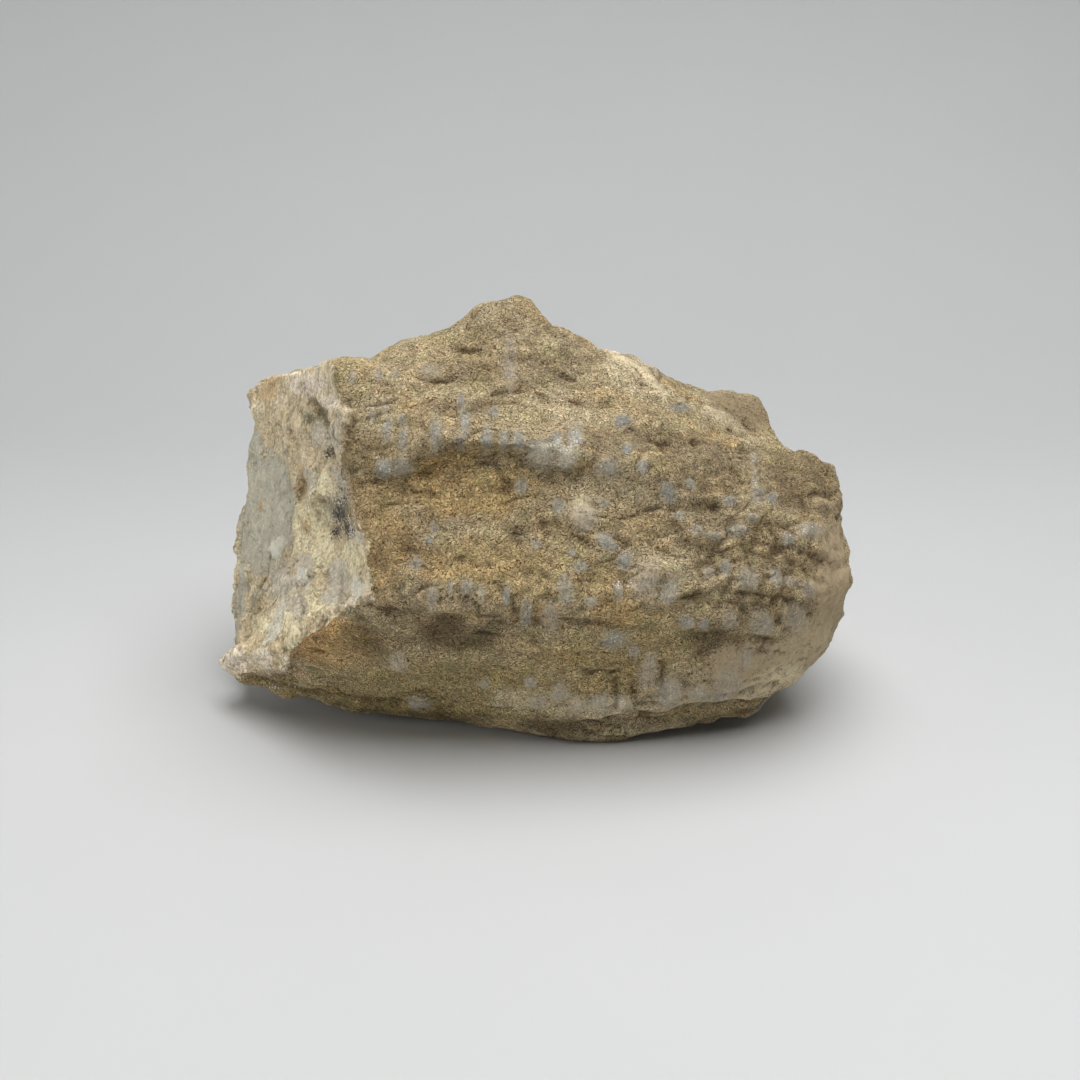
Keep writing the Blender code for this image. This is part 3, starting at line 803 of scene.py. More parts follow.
def window_painted_light(skin):
    """How much painted light the windows get: the front's lower ones are paler, the right's darker."""
    # Painted light: paler lower down and near crystals, darker to the right.
    front = np.interp(skin.down, (440, 600), (0.80, 1.20)) - 0.24 * ramp(skin.across, 660, 740)
    front = front + 0.42 * crystal_share(skin) + 0.20 * ramp(skin.down, 640, 680)
    for x, y, half_width, half_height, extra in WINDOWS_PAINTED_LIGHTER:
        here = oval(skin.across, skin.down, x, y, half_width, half_height)
        front = front + extra * ramp(here, -0.1, 0.5)
    return np.where(skin.seen, front, 0.9)


def ledge_places(skin):
    """Where the ledges run, strayed a little, and how uneven they are."""
    across, down = skin.strayed(4.5, 3.5, seed=61)
    broad_across, broad_down = skin.strayed(9.0, 9.0, seed=63)
    uneven = np.clip(1 + 1.4 * skin.cloudy(4.5, seed=65), 0.05, 2.0)
    return (across + broad_across) / 2, (down + broad_down) / 2, uneven


def crevice_shading(skin):
    """How strongly each point takes a crevice's painted shade: 1 on it and below 0 away from it."""
    across, down, uneven = ledge_places(skin)
    # Painted shade under the ledges, between corallites, along sunk seams, in pits and in slots.
    front = np.full(len(skin.points), -1.0)
    for ledge in LEDGES:
        below, taper = below_ledge(across, down, ledge)
        depth = min(1.0, 0.4 + 0.6 * ledge[2])
        front = np.maximum(front, depth * taper * uneven - np.abs(below - 0.3) / 0.8)
    gaps = ramp(0.34 - skin.corallites(), 0, 0.26)
    front = np.maximum(front, gaps * patched(skin.across, skin.down, KNOBBLY) * 0.62)
    across, down = skin.strayed(2.0, 1.6, seed=121)
    for points, half_width, rise, _, strength in SEAMS:
        if rise < 0:
            line = 1 - line_distance(across, down, points) / (half_width + 2)
            front = np.maximum(front, strength * line)
    for x, y, half_width, half_height, _, strength in PITS:
        here = oval(across, down, x, y, half_width + 1, half_height + 1)
        front = np.maximum(front, strength * (0.3 + 0.8 * here))
    everywhere = slots(skin) * 0.55
    return np.clip(np.maximum(everywhere, np.where(skin.seen, front, -1)), -1, 1)


def front_relief(skin):
    """Ledges, knobs, pits and seams of the front, in millimetres."""
    across, down, uneven = ledge_places(skin)
    height = np.zeros(len(skin.points))
    for ledge in LEDGES:
        height += ledge_height(across, down, ledge, uneven)
    across, down = skin.strayed(3.2, 3.5, seed=61)
    for x, y, half_width, half_height, rise in KNOBS:
        height += rise * ramp(oval(across, down, x, y, half_width, half_height), -0.1, 0.9)
    for x, y, half_width, half_height, depth, _ in PITS:
        here = oval(across, down, x, y, half_width + 2, half_height + 2)
        height -= 0.35 * depth * ramp(here, 0, 0.8)
    for points, half_width, rise, _, _ in SEAMS:
        off = line_distance(across, down, points)
        height += rise * (1 - ramp(off, 0.3 * half_width, 1.3 * half_width + 2))
    return height * skin.front


def hidden_relief(skin):
    """Growth bands and broken relief of the hidden sides, in millimetres."""
    turns = 2 * math.pi * skin.climb() / BAND_SPACING
    bands = 0.5 * np.sin(turns) + 0.25 * np.sin(2 * turns + 1)
    return (1 - skin.front) * (0.8 * bands + 1.1 * skin.cloudy(16, seed=43, octaves=3))


def slots(skin):
    """Level slots in the crust, here and there: 1 in each and 0 elsewhere."""
    lines = ramp(ridged(skin.points, 8, seed=75, stretch=(1.2, 1.2, 0.36)), 0.78, 0.97)
    return lines * ramp(skin.cloudy(13, seed=77), -0.05, 0.35)


def crust_relief(skin, crumble, knobbly):
    """The crust's lumps, corallite knobs, dark slots and crumbs, in millimetres."""
    lumps = skin.cloudy(9, seed=73, octaves=4, stretch=(1.4, 1.4, 0.8))
    crumbs = skin.cloudy(2.8, seed=71, stretch=(1.5, 1.5, 0.8))
    knobs = (skin.corallites() - 0.5) * knobbly
    return crumble * (2.2 * lumps + 2.0 * crumbs - 2.4 * slots(skin) + 3.0 * knobs)


def bare_relief(skin):
    """Chipped facets where the silica is bare, in millimetres."""
    points = skin.points + 0.8 * skin.cloudy(4, seed=85)[:, None]
    large = faceted(points, 9.5, seed=81) * 2.4
    small = faceted(points, 3.6, seed=83) * 0.65
    return large + small + 0.18 * skin.cloudy(2.0, seed=87)


def crispness(skin):
    """How chipped the bare silica is: smooth in the chert, crumbly elsewhere."""
    smooth = np.zeros(len(skin.points))
    for x, y, half_width, half_height, turn in ZONES["sage"]:
        here = oval(skin.across, skin.down, x, y, half_width, half_height, turn)
        smooth = np.maximum(smooth, ramp(here, -0.2, 0.3))
    return 1 - 0.6 * smooth * skin.front


def all_relief(skin, settings, knob, sandy, bare):
    """The whole relief in millimetres, which fades out towards the rest face."""
    across, down = skin.strayed(5.0, 6.0, seed=67)
    knobbly = np.where(skin.seen, patched(across, down, KNOBBLY), looseness(skin))
    rough = 0.35 + 0.65 * np.minimum(sandy, 1)
    height = front_relief(skin) + hidden_relief(skin) + knob
    height += (1 - bare) * rough * crust_relief(skin, settings.crumble / MM, knobbly)
    height += bare * bare_relief(skin) * crispness(skin)
    return height * (settings.relief * ramp(skin.points[:, 2], 0.2, REST_MARGIN))


def looseness(skin):
    """Where the hidden crust is knobbly and ribbed."""
    return ramp(skin.cloudy(18, seed=69), -0.2, 0.4)


def keep_rest_face(points, flat):
    """Nothing reaches below the ground, and what lay on it stays there."""
    points[:, 2] = np.where(flat, 0.0, np.maximum(points[:, 2], 0.0))


# The colours laid on the skin.

# How much of each colour's look is loose sand grains.
SANDINESS = {
    "gold": 1.0, "ochre": 1.0, "rust": 0.9, "umber": 0.9, "olive": 0.8, "taupe": 0.08,
    "tan": 0.4, "cream": 0.3, "chalk": 0.15, "moss": 0.0,
}

# Hollows and edges are where the relief differs from its average over so many rounds of
# blurring, as a share of so many millimetres.
WIDE_HOLLOWS = (16, 0.55)
NARROW_HOLLOWS = (4, 0.35)
# How much lighter the crust is painted on its edges.
EDGE_LIGHTENING = 0.20


class Paint:
    """The ground colour of each point, and how sandy it is."""

    def __init__(self, count, settings):
        self.settings = settings
        self.colour = np.tile(np.array(settings.sand), (count, 1))
        self.sandy = np.ones(count)

    def lay(self, name, share):
        """Lays a colour over what is there, where share is above 0."""
        share = np.clip(share, 0, 1)
        self.colour += share[:, None] * (np.array(getattr(self.settings, name)) - self.colour)
        self.sandy += share * (SANDINESS[name] - self.sandy)


def paint_clouds(skin, paint):
    """Loose changes of colour all over the crust."""
    hidden = 1 - 0.55 * skin.front
    broad = skin.cloudy(17, seed=91, octaves=3)
    other = skin.cloudy(11, seed=93, octaves=3, stretch=(1.5, 1.5, 0.8))
    paint.lay("olive", ramp(broad, 0.05, 0.6) * 0.5 * hidden)
    paint.lay("ochre", ramp(-broad, 0.05, 0.6) * 0.5 * hidden)
    paint.lay("umber", ramp(other, 0.15, 0.7) * 0.45 * hidden)
    paint.lay("gold", ramp(-other, 0.1, 0.6) * 0.4 * hidden)
    near = skin.cloudy(6.5, seed=95, octaves=3, stretch=(1.4, 1.4, 0.8))
    paint.lay("umber", ramp(near, 0.12, 0.6) * 0.42)
    paint.lay("gold", ramp(-near, 0.12, 0.6) * 0.36)


def paint_front(skin, paint):
    """The crust's patches and seams that the front view shows."""
    across, down = skin.strayed(9.0, 7.0, seed=101)
    for name, strength, x, y, half_width, half_height, turn in PATCHES:
        here = oval(across, down, x, y, half_width, half_height, turn)
        paint.lay(name, strength * ramp(here, -0.25, 0.45) * skin.front)
    across, down = skin.strayed(4.0, 3.0, seed=103)
    for points, half_width, _, name, strength in SEAMS:
        off = line_distance(across, down, points)
        share = 1 - ramp(off, 0.4 * half_width, 1.4 * half_width)
        paint.lay(name, strength * share * skin.front)


def paint_rims(paint, window):
    """A smooth beige rim around each window."""
    near = ramp(window, -0.9, 0.2)
    paint.lay("taupe", near * 0.55)
    paint.lay("cream", near * 0.08)


def hollows(skin, height):
    """How deep each point lies between its neighbours, from -1 on an edge to 1 in a gap."""
    deep = np.zeros(len(height))
    for rounds, depth in (WIDE_HOLLOWS, NARROW_HOLLOWS):
        deep += (blurred(height, skin.ends, rounds) - height) / depth
    return np.clip(deep, -1, 1)


def paint_dirt_and_shade(paint, hollow):
    """Paints the crust umber in hollows, partly grime and partly painted shade, and lighter on edges.
    """
    # Painted shade and grime: umber where the relief lies deep.
    paint.lay("umber", ramp(hollow, 0.08, 1.0) * 0.50)
    paint.colour *= (1 + EDGE_LIGHTENING * ramp(-hollow, 0.1, 1.0))[:, None]


def zone_field(skin, name):
    """How far inside the fracture's zones of this colour each point lies."""
    across, down = skin.strayed(3.0, 3.0, seed=131)
    field = np.full(len(skin.points), -1.0)
    for x, y, half_width, half_height, turn in ZONES[name]:
        field = np.maximum(field, oval(across, down, x, y, half_width, half_height, turn))
    return field


def hidden_zone_field(skin, number, name):
    """The same for the chip scars of the hidden sides, where noise lays the zones."""
    broad = skin.cloudy(15, seed=140 + number, octaves=3)
    rarer = RARE_THRESHOLD if name in RARE_ZONES else 0
    return 1.6 * (broad - ZONE_THRESHOLD - ZONE_THRESHOLD_STEP * number - rarer)


def zone_fields(skin):
    """One column for each of the bare silica's colours."""
    columns = []
    for number, name in enumerate(ZONES):
        front = zone_field(skin, name)
        columns.append(np.where(skin.seen, front, hidden_zone_field(skin, number, name)))
    return columns


def crystal_share(skin):
    """Where white crystals sit."""
    share = np.zeros(len(skin.points))
    for x, y, half_width, half_height in CRYSTALS:
        here = oval(skin.across, skin.down, x, y, half_width, half_height)
        share = np.maximum(share, ramp(here, -0.3, 0.7))
    return share * skin.front


# What the material reads from the points.


def zone_attribute(number):
    """The name of the attribute that holds this zone and the others of its three."""
    return f"zones_{number // 3}"


def keep_values(mesh, name, columns):
    """Stores three numbers for each point."""
    stored = mesh.attributes.new(name, "FLOAT_VECTOR", "POINT")
    values = np.stack(columns, axis=1)
    stored.data.foreach_set("vector", values.astype(np.float32).ravel())


def keep_colour(mesh, name, colours):
    """Stores a colour for each point."""
    stored = mesh.attributes.new(name, "FLOAT_COLOR", "POINT")
    values = np.hstack([np.clip(colours, 0, 1), np.ones((len(colours), 1))])
    stored.data.foreach_set("color", values.astype(np.float32).ravel())


def shape_and_paint(mesh, settings):
    """Presses the relief into the mesh and stores its colours and marks on it."""
    skin = Skin(mesh)
    fracture = fracture_field(skin)
    bare_field = np.maximum(fracture, scar_field(skin) * (1 - skin.front) - 3 * skin.front)
    bare = ramp(bare_field, -0.3, 0.6)
    windows = all_windows(skin, bare)
    paint = Paint(len(skin.points), settings)
    paint_clouds(skin, paint)
    paint_front(skin, paint)
    paint_rims(paint, windows.field)

    height = all_relief(skin, settings, windows.knob, paint.sandy, bare)
    points = skin.points + skin.normals * height[:, None]
    keep_rest_face(points, skin.points[:, 2] < REST_HEIGHT)
    place_points(mesh, points)

    hollow = hollows(skin, height)
    paint_dirt_and_shade(paint, hollow)
    across, down = skin.strayed(5.0, 6.0, seed=67)
    ribbed = np.where(skin.seen, patched(across, down, RIBBED), looseness(skin))
    keep_colour(mesh, "ground", paint.colour)
    keep_values(mesh, "marks", [windows.field, windows.tint, bare_field])
    keep_values(mesh, "state", [paint.sandy, ribbed, crystal_share(skin)])
    # Hollows for grime and painted shade, crevice painted shade, and the windows' painted light.
    keep_values(mesh, "wear", [hollow, crevice_shading(skin), window_painted_light(skin)])
    zones = zone_fields(skin)
    for number in range(0, len(zones), 3):
        keep_values(mesh, zone_attribute(number), zones[number:number + 3])


# Materials.


class Wire:
    """One socket's value. Arithmetic on it adds Math nodes to its tree."""

    def __init__(self, maker, socket):
        self.maker = maker
        self.socket = socket

    def math(self, operation, *terms):
        """A Math node's result."""
        sockets = dict(enumerate(terms))
        return self.maker.node("ShaderNodeMath", {"operation": operation}, sockets)["Value"]

    def __add__(self, other):
        return self.math("ADD", self, other)

    def __sub__(self, other):
        return self.math("SUBTRACT", self, other)

    def __rsub__(self, other):
        return self.math("SUBTRACT", other, self)

    def __abs__(self):
        return self.math("ABSOLUTE", self)

    def __mul__(self, other):
        return self.math("MULTIPLY", self, other)

    __radd__ = __add__
    __rmul__ = __mul__


class Outputs:
    """A node's outputs, by name or number."""

    def __init__(self, maker, made):
        self.maker = maker
        self.made = made

    def __getitem__(self, key):
        return Wire(self.maker, self.made.outputs[key])


class Maker:
    """Adds nodes to the tree of a material or a world, and feeds the node that it ends in."""

    def __init__(self, owner, end):
        self.owner = owner
        self.owner.use_nodes = True
        self.tree = owner.node_tree
        self.end = self.tree.nodes[end]

    def feed(self, socket, value):
        """A link where the value is a wire, or else the socket's own value."""
        if isinstance(value, Wire):
            self.tree.links.new(value.socket, socket)
        else:
            socket.default_value = value

    def finish(self, sockets):
        """Feeds the last node and returns what the tree belongs to."""
        for key, value in sockets.items():
            self.feed(self.end.inputs[key], value)
        return self.owner

    def node(self, kind, settings, sockets):
        """A new node of the kind, with its settings, then its sockets' values or wires."""
        made = self.tree.nodes.new(kind)
        for name, value in settings.items():
            setattr(made, name, value)
        for key, value in sockets.items():
            self.feed(made.inputs[key], value)
        return Outputs(self, made)

    def coordinates(self, output):
        """The place that is shaded, in the coordinates of the output's name."""
        return self.node("ShaderNodeTexCoord", {}, {})[output]

    def stretched(self, vector, factors):
        """A vector times another."""
        return self.node("ShaderNodeVectorMath", {"operation": "MULTIPLY"}, {0: vector, 1: factors})[0]

    def shifted(self, vector, offset):
        """A vector plus another."""
        return self.node("ShaderNodeVectorMath", {"operation": "ADD"}, {0: vector, 1: offset})[0]

    def mixed(self, share, low, high, blend="MIX"):
        """Two colours mixed."""
        settings = {"data_type": "RGBA", "blend_type": blend}
        return self.node("ShaderNodeMix", settings, {0: share, 6: low, 7: high})[2]

    def times(self, colour, factors):
        """A colour times another, or times a number."""
        return self.mixed(1.0, colour, factors, "MULTIPLY")

    def smooth(self, value, low, high):
        """0 below low, 1 above high, and smooth between."""
        sockets = {"Value": value, "From Min": low, "From Max": high}
        return self.node("ShaderNodeMapRange", {"interpolation_type": "SMOOTHSTEP"}, sockets)["Result"]

    def noise(self, place, wavelength, detail):
        """A noise node with patches of the wavelength."""
        sockets = {"Vector": place, "Scale": 1 / wavelength, "Detail": detail}
        return self.node("ShaderNodeTexNoise", {}, sockets)

    def clouds(self, place, wavelength, detail):
        """Noise from 0 to 1, with patches of the wavelength."""
        return self.noise(place, wavelength, detail)[0]

    def curls(self, place, wavelength, width):
        """Thin curly lines: 1 along each and 0 between them."""
        return 1 - self.smooth(abs(self.clouds(place, wavelength, 1) - 0.5), 0.0, width)

    def cells(self, place, size):
        """A node with one cell of its own colour around each of many points."""
        return self.node("ShaderNodeTexVoronoi", {}, {"Vector": place, "Scale": 1 / size})

    def parts(self, vector):
        """A vector's or a colour's three numbers."""
        apart = self.node("ShaderNodeSeparateXYZ", {}, {0: vector})
        return apart[0], apart[1], apart[2]

    def attribute(self, name):
        """What is stored on the piece's points under the name."""
        return self.node("ShaderNodeAttribute", {"attribute_name": name}, {})


def opaque(rgb):
    """A colour with its alpha."""
    return (*rgb, 1)


# How the ground's colour changes in dark gaps, pale fibres and warm and greenish grains.
DARK_GRAIN = (0.22, 0.14, 0.07, 1)
PALE_GRAIN = (1.58, 1.60, 1.48, 1)
WARM_GRAIN = (1.08, 0.96, 0.82, 1)
GREEN_GRAIN = (0.90, 0.97, 0.82, 1)
FIBRE = (0.80, 0.65, 0.35, 1)
CRYSTAL_WHITE = (0.88, 0.86, 0.82, 1)

# The stone's patterns, in millimetres: how large a flake, a crystal and a bend are, and how
# far apart fibres, gaps and cracks lie. Stretches are along x, y and z.
FLAKE_SIZE = 1.9
CRYSTAL_SIZE = 0.62
BEND_SIZE = 1.7
BEND_REACH = (1.5, 1.5, 1.5)
LEVEL_FIBRES = ((0.62, 0.62, 1.3), 0.57, 0.060)
UPRIGHT_FIBRES = ((1.3, 1.3, 0.42), 0.62, 0.060)
FIBRE_GAPS = ((0.8, 0.8, 1.1), 0.67, 0.065)
GAPS_OFFSET = (31, 17, 53)
CRACK_SPACING = 6.0
CRACK_WIDTH = 0.012
BARE_STREAKS = (1.15, 1.15, 0.6)
VEIN_STREAKS = (1.3, 1.3, 0.3)
WINDOW_GROOVES = (1.7, 1.7, 0.35)


class Stone(Maker):
    """The stone's material, with the patterns and the marks that its looks share."""

    def __init__(self, settings):
        super().__init__(bpy.data.materials.new("coral_stone"), "Principled BSDF")
        self.settings = settings
        self.place = self.stretched(self.coordinates("Object"), (1 / MM, 1 / MM, 1 / MM))
        self.ground = self.attribute("ground")["Color"]
        self.window, self.tint, self.bare = self.parts(self.attribute("marks")["Vector"])
        self.sandy, self.ribbed, self.crystals = self.parts(self.attribute("state")["Vector"])
        self.hollow, self.crevice, self.window_light = self.parts(self.attribute("wear")["Vector"])
        grains = self.cells(self.place, settings.grain / MM)
        self.loose, _, self.glint = self.parts(grains["Color"])
        self.flake = self.parts(self.cells(self.place, FLAKE_SIZE)["Color"])[0]
        self.uneven = self.clouds(self.place, 1.3, 2) - 0.5
        self.grit = self.clouds(self.place, 0.9, 3)
        # Painted shade along each crevice.
        depth = self.crevice + self.uneven * 1.1 + (self.loose - 0.5) * 0.7
        self.crevice_shade = self.smooth(depth, 0.25, 1.0)

    def colour(self, name):
        """One of the block's colours."""
        return opaque(getattr(self.settings, name))

    def fibres(self, bent, look):
        """Curly lines along the bent coordinates."""
        stretch, wavelength, width = look
        return self.curls(self.stretched(bent, stretch), wavelength, width)


def fibres_and_gaps(stone):
    """Curly fibres of the crust, level or upright, and the gaps between them."""
    bends = stone.noise(stone.place, BEND_SIZE, 2)["Color"]
    bent = stone.shifted(stone.place, stone.stretched(bends, BEND_REACH))
    level = stone.fibres(bent, LEVEL_FIBRES)
    upright = stone.fibres(bent, UPRIGHT_FIBRES)
    stretch, wavelength, width = FIBRE_GAPS
    elsewhere = stone.shifted(stone.stretched(bent, stretch), GAPS_OFFSET)
    return level + (upright - level) * stone.ribbed, stone.curls(elsewhere, wavelength, width)


def sand_colour(stone):
    """The ground's colour under curly pale fibres with dark gaps between them."""
    fibres, gaps = fibres_and_gaps(stone)
    loose = stone.loose
    warmth, paleness, weight = stone.parts(stone.noise(stone.place, 3.2, 3)["Color"])
    light = 1.01 + (loose - 0.5) * 0.90 + (weight - 0.5) * 1.1 + (paleness - 0.5) * 0.4
    grains = stone.times(stone.ground, light)
    warm = stone.smooth(warmth + loose * 0.10, 0.57, 0.68)
    grains = stone.mixed(warm * 0.5, grains, stone.times(grains, WARM_GRAIN))
    green = 1 - stone.smooth(warmth + loose * 0.10, 0.40, 0.52)
    grains = stone.mixed(green * 0.8, grains, stone.times(grains, GREEN_GRAIN))
    gaps = gaps * stone.smooth(loose + weight * 0.6, 0.25, 0.95)
    # Dark gaps between the fibres, plus painted shade along each crevice.
    dark = stone.smooth(gaps * 1.25 + stone.crevice_shade * 0.75, 0.0, 0.9)
    grains = stone.mixed(dark * 0.97, grains, stone.times(grains, DARK_GRAIN))
    fibres = fibres * stone.smooth(loose + paleness - stone.crevice_shade * 0.5, 0.45, 1.0)
    pale = stone.mixed(0.35, stone.times(stone.ground, PALE_GRAIN), FIBRE)
    return stone.mixed(fibres * 0.9, grains, pale), fibres - gaps


def crust_colour(stone):
    """Sand where the crust is loose, and worn silica where it is smooth."""
    veins = stone.clouds(stone.stretched(stone.place, VEIN_STREAKS), 1.5, 4)
    worn = stone.times(stone.ground, 0.66 + stone.grit * 0.30 + veins * 0.36)
    sand, fibres = sand_colour(stone)
    grainy = stone.smooth(stone.sandy + stone.uneven * 0.7 + (stone.glint - 0.5) * 0.5, 0.25, 0.55)
    return stone.mixed(grainy, worn, sand), grainy, fibres


def zone_colours(stone, ragged, clouds):
    """The bare silica's zones of colour with crisp or gritty edges, and how smooth it is."""
    base = stone.mixed(stone.smooth(clouds, 0.42, 0.58), stone.colour("cream"), stone.colour("tan"))
    blotches = stone.smooth(stone.clouds(stone.place, 2.6, 3), 0.44, 0.62)
    chert = 0.0
    for number, name in enumerate(ZONES):
        strength, grit, smooth = ZONE_LOOKS[name]
        field = stone.parts(stone.attribute(zone_attribute(number))["Vector"])[number % 3]
        here = stone.smooth(field + ragged * 1.3 + (stone.glint - 0.5) * grit, -0.06, 0.14)
        here = here * (strength - blotches * (0.25 if smooth < 1 else 0.12))
        base = stone.mixed(here, base, stone.colour(name))
        if smooth:
            chert = here * smooth + chert
    return base, chert


def bare_colour(stone):
    """Cloudy fractured silica with cracks, pits and umber in its hollows, partly grime and partly
    painted shade.
    """
    streaky = stone.stretched(stone.place, BARE_STREAKS)
    ragged = stone.clouds(streaky, 1.6, 4) - 0.5
    clouds = stone.clouds(streaky, 4.5, 4)
    base, chert = zone_colours(stone, ragged, clouds)
    crumbly = 1 - chert * 0.75
    lines = stone.curls(stone.place, CRACK_SPACING, CRACK_WIDTH)
    cracks = lines * stone.smooth(clouds, 0.48, 0.60) * 0.25
    fine = (stone.clouds(stone.place, 0.55, 2) - 0.5) * crumbly
    pits = stone.smooth(stone.clouds(streaky, 1.1, 2), 0.60, 0.74) * crumbly
    light = 1.02 + (clouds - 0.5) * 0.3 + fine * 1.8 + (stone.flake - 0.5) * 0.14
    light = light + ragged * crumbly * 1.4 - cracks - pits * 0.25
    speck = stone.smooth(stone.glint + ragged * 0.5, 0.95, 1.0) * crumbly
    silica = stone.mixed(speck * 0.6, stone.times(base, light), CRYSTAL_WHITE)
    # Painted shade and grime: umber in hollows and along each crevice.
    dirt_and_painted_shade = stone.smooth(stone.hollow + stone.uneven * 0.9, 0.35, 1.1) * 0.5
    dirt_and_painted_shade = stone.smooth(dirt_and_painted_shade + stone.crevice_shade, 0, 1) * 0.7
    return stone.mixed(dirt_and_painted_shade, silica, stone.colour("umber")), crumbly, cracks


def window_colour(stone, fibres):
    """Chalcedony from blue-grey to lavender with upright grooves and painted light, and where it is
    clear.
    """
    edge = stone.window + stone.uneven * 1.2 + (stone.glint - 0.5) * 0.75 + fibres * 0.22
    cloudiness = stone.smooth(stone.clouds(stone.place, 5.0, 2), 0.40, 0.60)
    clear = stone.smooth(edge, -0.26, 0.34) * (0.66 + cloudiness * 0.30)
    glass = stone.mixed(0.12 + stone.tint * 0.88, stone.colour("blue"), stone.colour("lavender"))
    glass = stone.mixed(0.15, glass, stone.ground)
    grooves = stone.clouds(stone.stretched(stone.place, WINDOW_GROOVES), 0.8, 3)
    # Painted light: the windows' brightness follows the window light stored on the points.
    grooves_and_painted_light = stone.window_light * (0.10 + grooves * 1.40 + stone.loose * 0.40 + fibres * 0.30)
    return stone.times(glass, grooves_and_painted_light), clear


def crystal_specks(stone, clear):
    """Small round white crystals: 1 on each and 0 between them."""
    dots = stone.cells(stone.place, CRYSTAL_SIZE)
    chance = stone.parts(dots["Color"])[0]
    chosen = stone.smooth(stone.crystals * 0.50 + clear * 0.09 + chance, 1.05, 1.12)
    return chosen * (1 - stone.smooth(dots["Distance"], 0.22, 0.40))


def stone_material(settings):
    """Sandy crust, glossy chalcedony windows and bare fractured silica."""
    stone = Stone(settings)
    crust, grainy, fibres = crust_colour(stone)
    silica, crumbly, cracks = bare_colour(stone)
    edge = stone.bare + stone.uneven * 1.8 + (stone.loose - 0.5) * 0.4
    exposed = stone.smooth(edge, -0.10, 0.12)
    base = stone.mixed(exposed, crust, silica)
    glass, clear = window_colour(stone, fibres)
    base = stone.mixed(clear, base, glass)
    sparkle = crystal_specks(stone, clear)
    base = stone.mixed(sparkle * 0.9, base, CRYSTAL_WHITE)
    rough = 0.86 - exposed * 0.30 - clear * 0.28 - sparkle * 0.25
    depth = (1 - exposed) * grainy * (fibres * 0.28 + stone.loose * 0.10) * (1 - clear * 0.5)
    chips = stone.flake * 0.16 + stone.grit * 0.68 * crumbly - cracks * 0.8
    depth = depth + exposed * chips + stone.uneven * 0.30 - stone.crevice_shade * 0.25
    bump = stone.node("ShaderNodeBump", {}, {"Strength": 1.0, "Distance": MM, "Height": depth})
    return stone.finish({"Base Color": base, "Roughness": rough, "Normal": bump["Normal"]})


SWEEP_ROUGHNESS = 0.9
SWEEP_SHADE_FROM = -0.16
SWEEP_SHADE_TO = 0.26


def sweep_material(near, far):
    """Matt board that is a little darker towards the back, as painted shade."""
    board = Maker(bpy.data.materials.new("sweep"), "Principled BSDF")
    place = board.coordinates("Object")
    _, back, _ = board.parts(place)
    # Painted shade: from the near colour to the darker far colour towards the back.
    share = board.smooth(back, SWEEP_SHADE_FROM, SWEEP_SHADE_TO)
    faint = 0.985 + board.clouds(place, 0.05, 2) * 0.03
    shade = board.times(board.mixed(share, opaque(near), opaque(far)), faint)
    return board.finish({"Base Color": shade, "Roughness": SWEEP_ROUGHNESS})


# The stage. Its sizes are in metres.

SWEEP_HALF_WIDTH = 2.5
SWEEP_FRONT = -3.0
SWEEP_BEND = 0.18
SWEEP_RADIUS = 0.18
SWEEP_TOP = 1.0
SWEEP_STEPS = 32
FLOOR_GAP = 0.0002

# The soft lights: width, length, place and the point that each faces.
LIGHTS = {
    "overhead": (0.9, 0.6, (0.10, 0.03, 0.70), (0, 0.01, 0)),
    "side": (0.4, 0.2, (-0.80, -0.16, 0.22), (0, 0, 0.03)),
    "front": (0.6, 0.2, (-0.2, -0.95, 0.14), (0, 0, 0.03)),
}

# The heights on the room's unit sphere between which its light goes from horizon to overhead.
HORIZON_TOP = 0.24
OVERHEAD_BOTTOM = 0.45
CLIP_START = 0.01


def picked(geometry, kind):
    """Only the points or only the edges of what an operator made."""
    return [part for part in geometry if isinstance(part, kind)]


def sweep():
    """A floor that bends up into a backdrop."""
    bm = bmesh.new()
    ends = [bm.verts.new((side * SWEEP_HALF_WIDTH, SWEEP_FRONT, -FLOOR_GAP)) for side in (-1, 1)]
    edge = bm.edges.new(ends)
    flat = bmesh.ops.extrude_edge_only(bm, edges=[edge])["geom"]
    far = picked(flat, bmesh.types.BMVert)
    bmesh.ops.translate(bm, verts=far, vec=(0, SWEEP_BEND - SWEEP_FRONT, 0))
    crease = picked(flat, bmesh.types.BMEdge)[:1]
    bend = bmesh.ops.spin(
        bm, geom=far + crease, cent=(0, SWEEP_BEND, SWEEP_RADIUS - FLOOR_GAP), axis=(1, 0, 0),
        angle=math.pi / 2, steps=SWEEP_STEPS,
    )["geom_last"]
    wall = bmesh.ops.extrude_edge_only(bm, edges=picked(bend, bmesh.types.BMEdge))["geom"]
    bmesh.ops.translate(bm, verts=picked(wall, bmesh.types.BMVert), vec=(0, 0, SWEEP_TOP))
    bmesh.ops.recalc_face_normals(bm, faces=bm.faces)
    mesh = bpy.data.meshes.new("sweep")
    bm.to_mesh(mesh)
    bm.free()
    mesh.shade_smooth()
    return mesh


def soft_light(name, watts):
    """A rectangular light that faces a point."""
    width, length_along, place, aim = LIGHTS[name]
    light = bpy.data.lights.new(name, "AREA")
    light.energy = watts
    light.shape = "RECTANGLE"
    light.size = width
    light.size_y = length_along
    lamp = bpy.data.objects.new(name, light)
    lamp.location = place
    lamp.rotation_euler = (Vector(aim) - Vector(place)).to_track_quat("-Z", "Y").to_euler()
    bpy.context.scene.collection.objects.link(lamp)


def room(overhead, horizon):
    """Even light from all around: pale at the height of the horizon and dim above."""
    air = Maker(bpy.data.worlds.new("room"), "Background")
    _, _, up = air.parts(air.coordinates("Generated"))
    share = air.smooth(up, HORIZON_TOP, OVERHEAD_BOTTOM)
    strength = horizon + share * (overhead - horizon)
    bpy.context.scene.world = air.finish({"Color": opaque((1, 1, 1)), "Strength": strength})


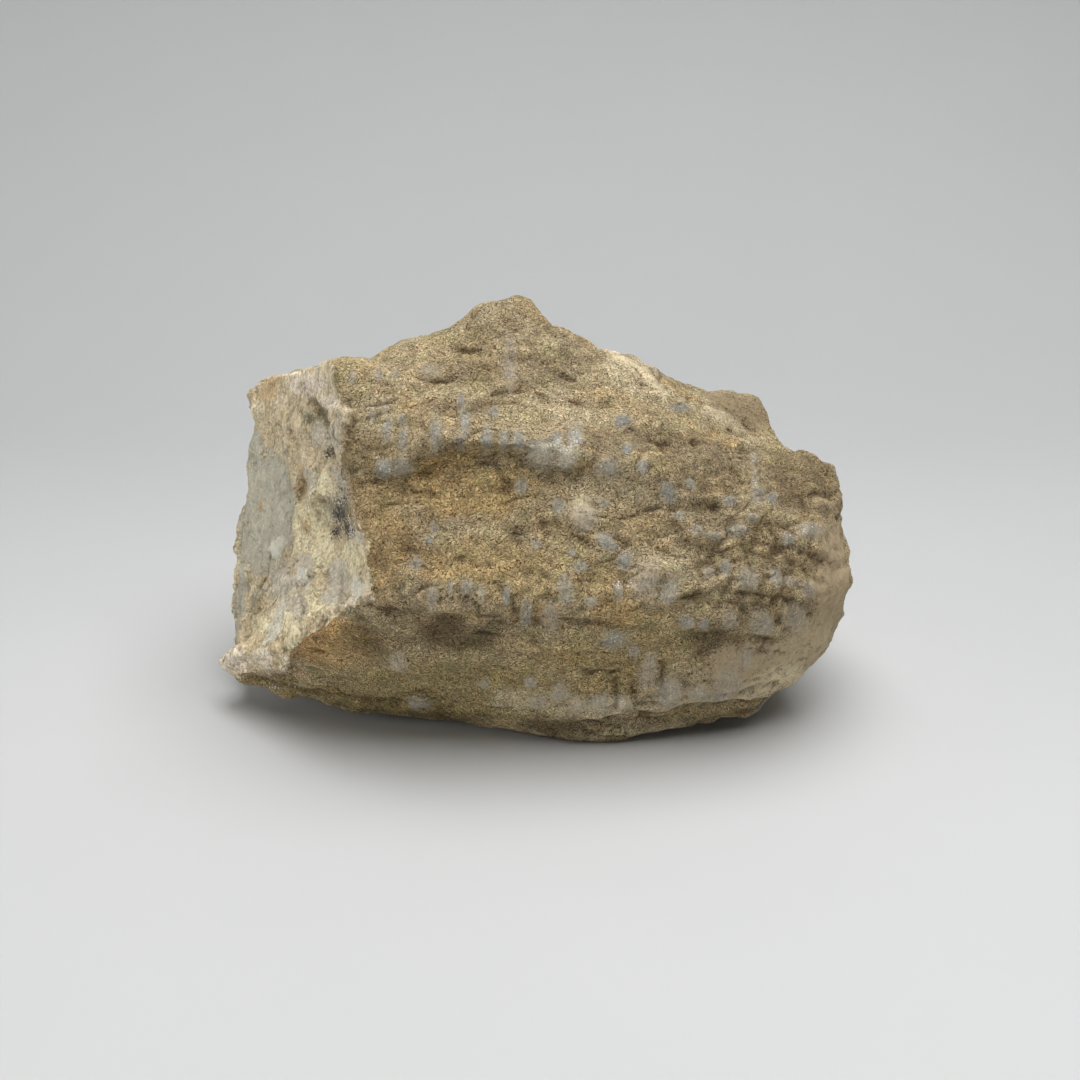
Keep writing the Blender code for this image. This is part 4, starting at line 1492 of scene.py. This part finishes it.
def front_camera():
    """The camera of the front view."""
    camera = bpy.data.cameras.new("front")
    camera.angle = VIEW_ANGLE
    camera.clip_start = CLIP_START
    seat = bpy.data.objects.new("front", camera)
    seat.location = view_point() * MM
    seat.rotation_euler = (math.pi / 2 - VIEW_TILT, 0, 0)
    bpy.context.scene.collection.objects.link(seat)
    bpy.context.scene.camera = seat


# The add-on.

TRIANGLE_LIMIT = 200_000


class CORAL_OT_block(bpy.types.Operator):
    """Build the block of coral over its CAD solid"""

    bl_idname = "coral.block"
    bl_label = "Coral block"

    def execute(self, context):
        settings = context.scene.coral_block
        mesh = remeshed(merged_copy(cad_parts["fossil_coral"]), settings.spacing)
        if 2 * len(mesh.polygons) >= TRIANGLE_LIMIT:
            raise RuntimeError("the mesh is too fine: raise the mesh spacing")
        nudged(mesh)
        softened(mesh)
        shape_and_paint(mesh, settings)
        mesh.materials.clear()
        mesh.materials.append(stone_material(settings))
        mesh.shade_smooth()
        mesh.name = "coral_block"
        block = bpy.data.objects.new("coral_block", mesh)
        context.scene.collection.objects.link(block)
        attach(block, "root")
        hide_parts("fossil_coral")
        return {"FINISHED"}


class CORAL_OT_stage(bpy.types.Operator):
    """Build the pale sweep, the soft lights and the camera"""

    bl_idname = "coral.stage"
    bl_label = "Stage"

    def execute(self, context):
        settings = context.scene.coral_stage
        floor = bpy.data.objects.new("sweep", sweep())
        floor.data.materials.append(sweep_material(settings.floor, settings.wall))
        context.scene.collection.objects.link(floor)
        for name in LIGHTS:
            soft_light(name, getattr(settings, name))
        room(settings.surround, settings.horizon)
        front_camera()
        context.scene.view_settings.view_transform = "Standard"
        return {"FINISHED"}


class CORAL_PT_panel(bpy.types.Panel):
    """Lists the block, the stage and their settings"""

    bl_idname = "CORAL_PT_panel"
    bl_label = "Fossil coral"
    bl_space_type = "VIEW_3D"
    bl_region_type = "UI"
    bl_category = "Fossil coral"

    def draw(self, context):
        for operator, settings in (
            (CORAL_OT_block, context.scene.coral_block),
            (CORAL_OT_stage, context.scene.coral_stage),
        ):
            self.layout.operator(operator.bl_idname)
            for name in settings.__annotations__:
                self.layout.prop(settings, name)


CLASSES = (CoralSettings, StageSettings, CORAL_OT_block, CORAL_OT_stage, CORAL_PT_panel)


def register():
    for kind in CLASSES:
        bpy.utils.register_class(kind)
    bpy.types.Scene.coral_block = PointerProperty(type=CoralSettings)
    bpy.types.Scene.coral_stage = PointerProperty(type=StageSettings)


def unregister():
    del bpy.types.Scene.coral_stage
    del bpy.types.Scene.coral_block
    for kind in reversed(CLASSES):
        bpy.utils.unregister_class(kind)


def main():
    register()
    bpy.ops.coral.block()
    bpy.ops.coral.stage()


if __name__ == "__main__":
    main()
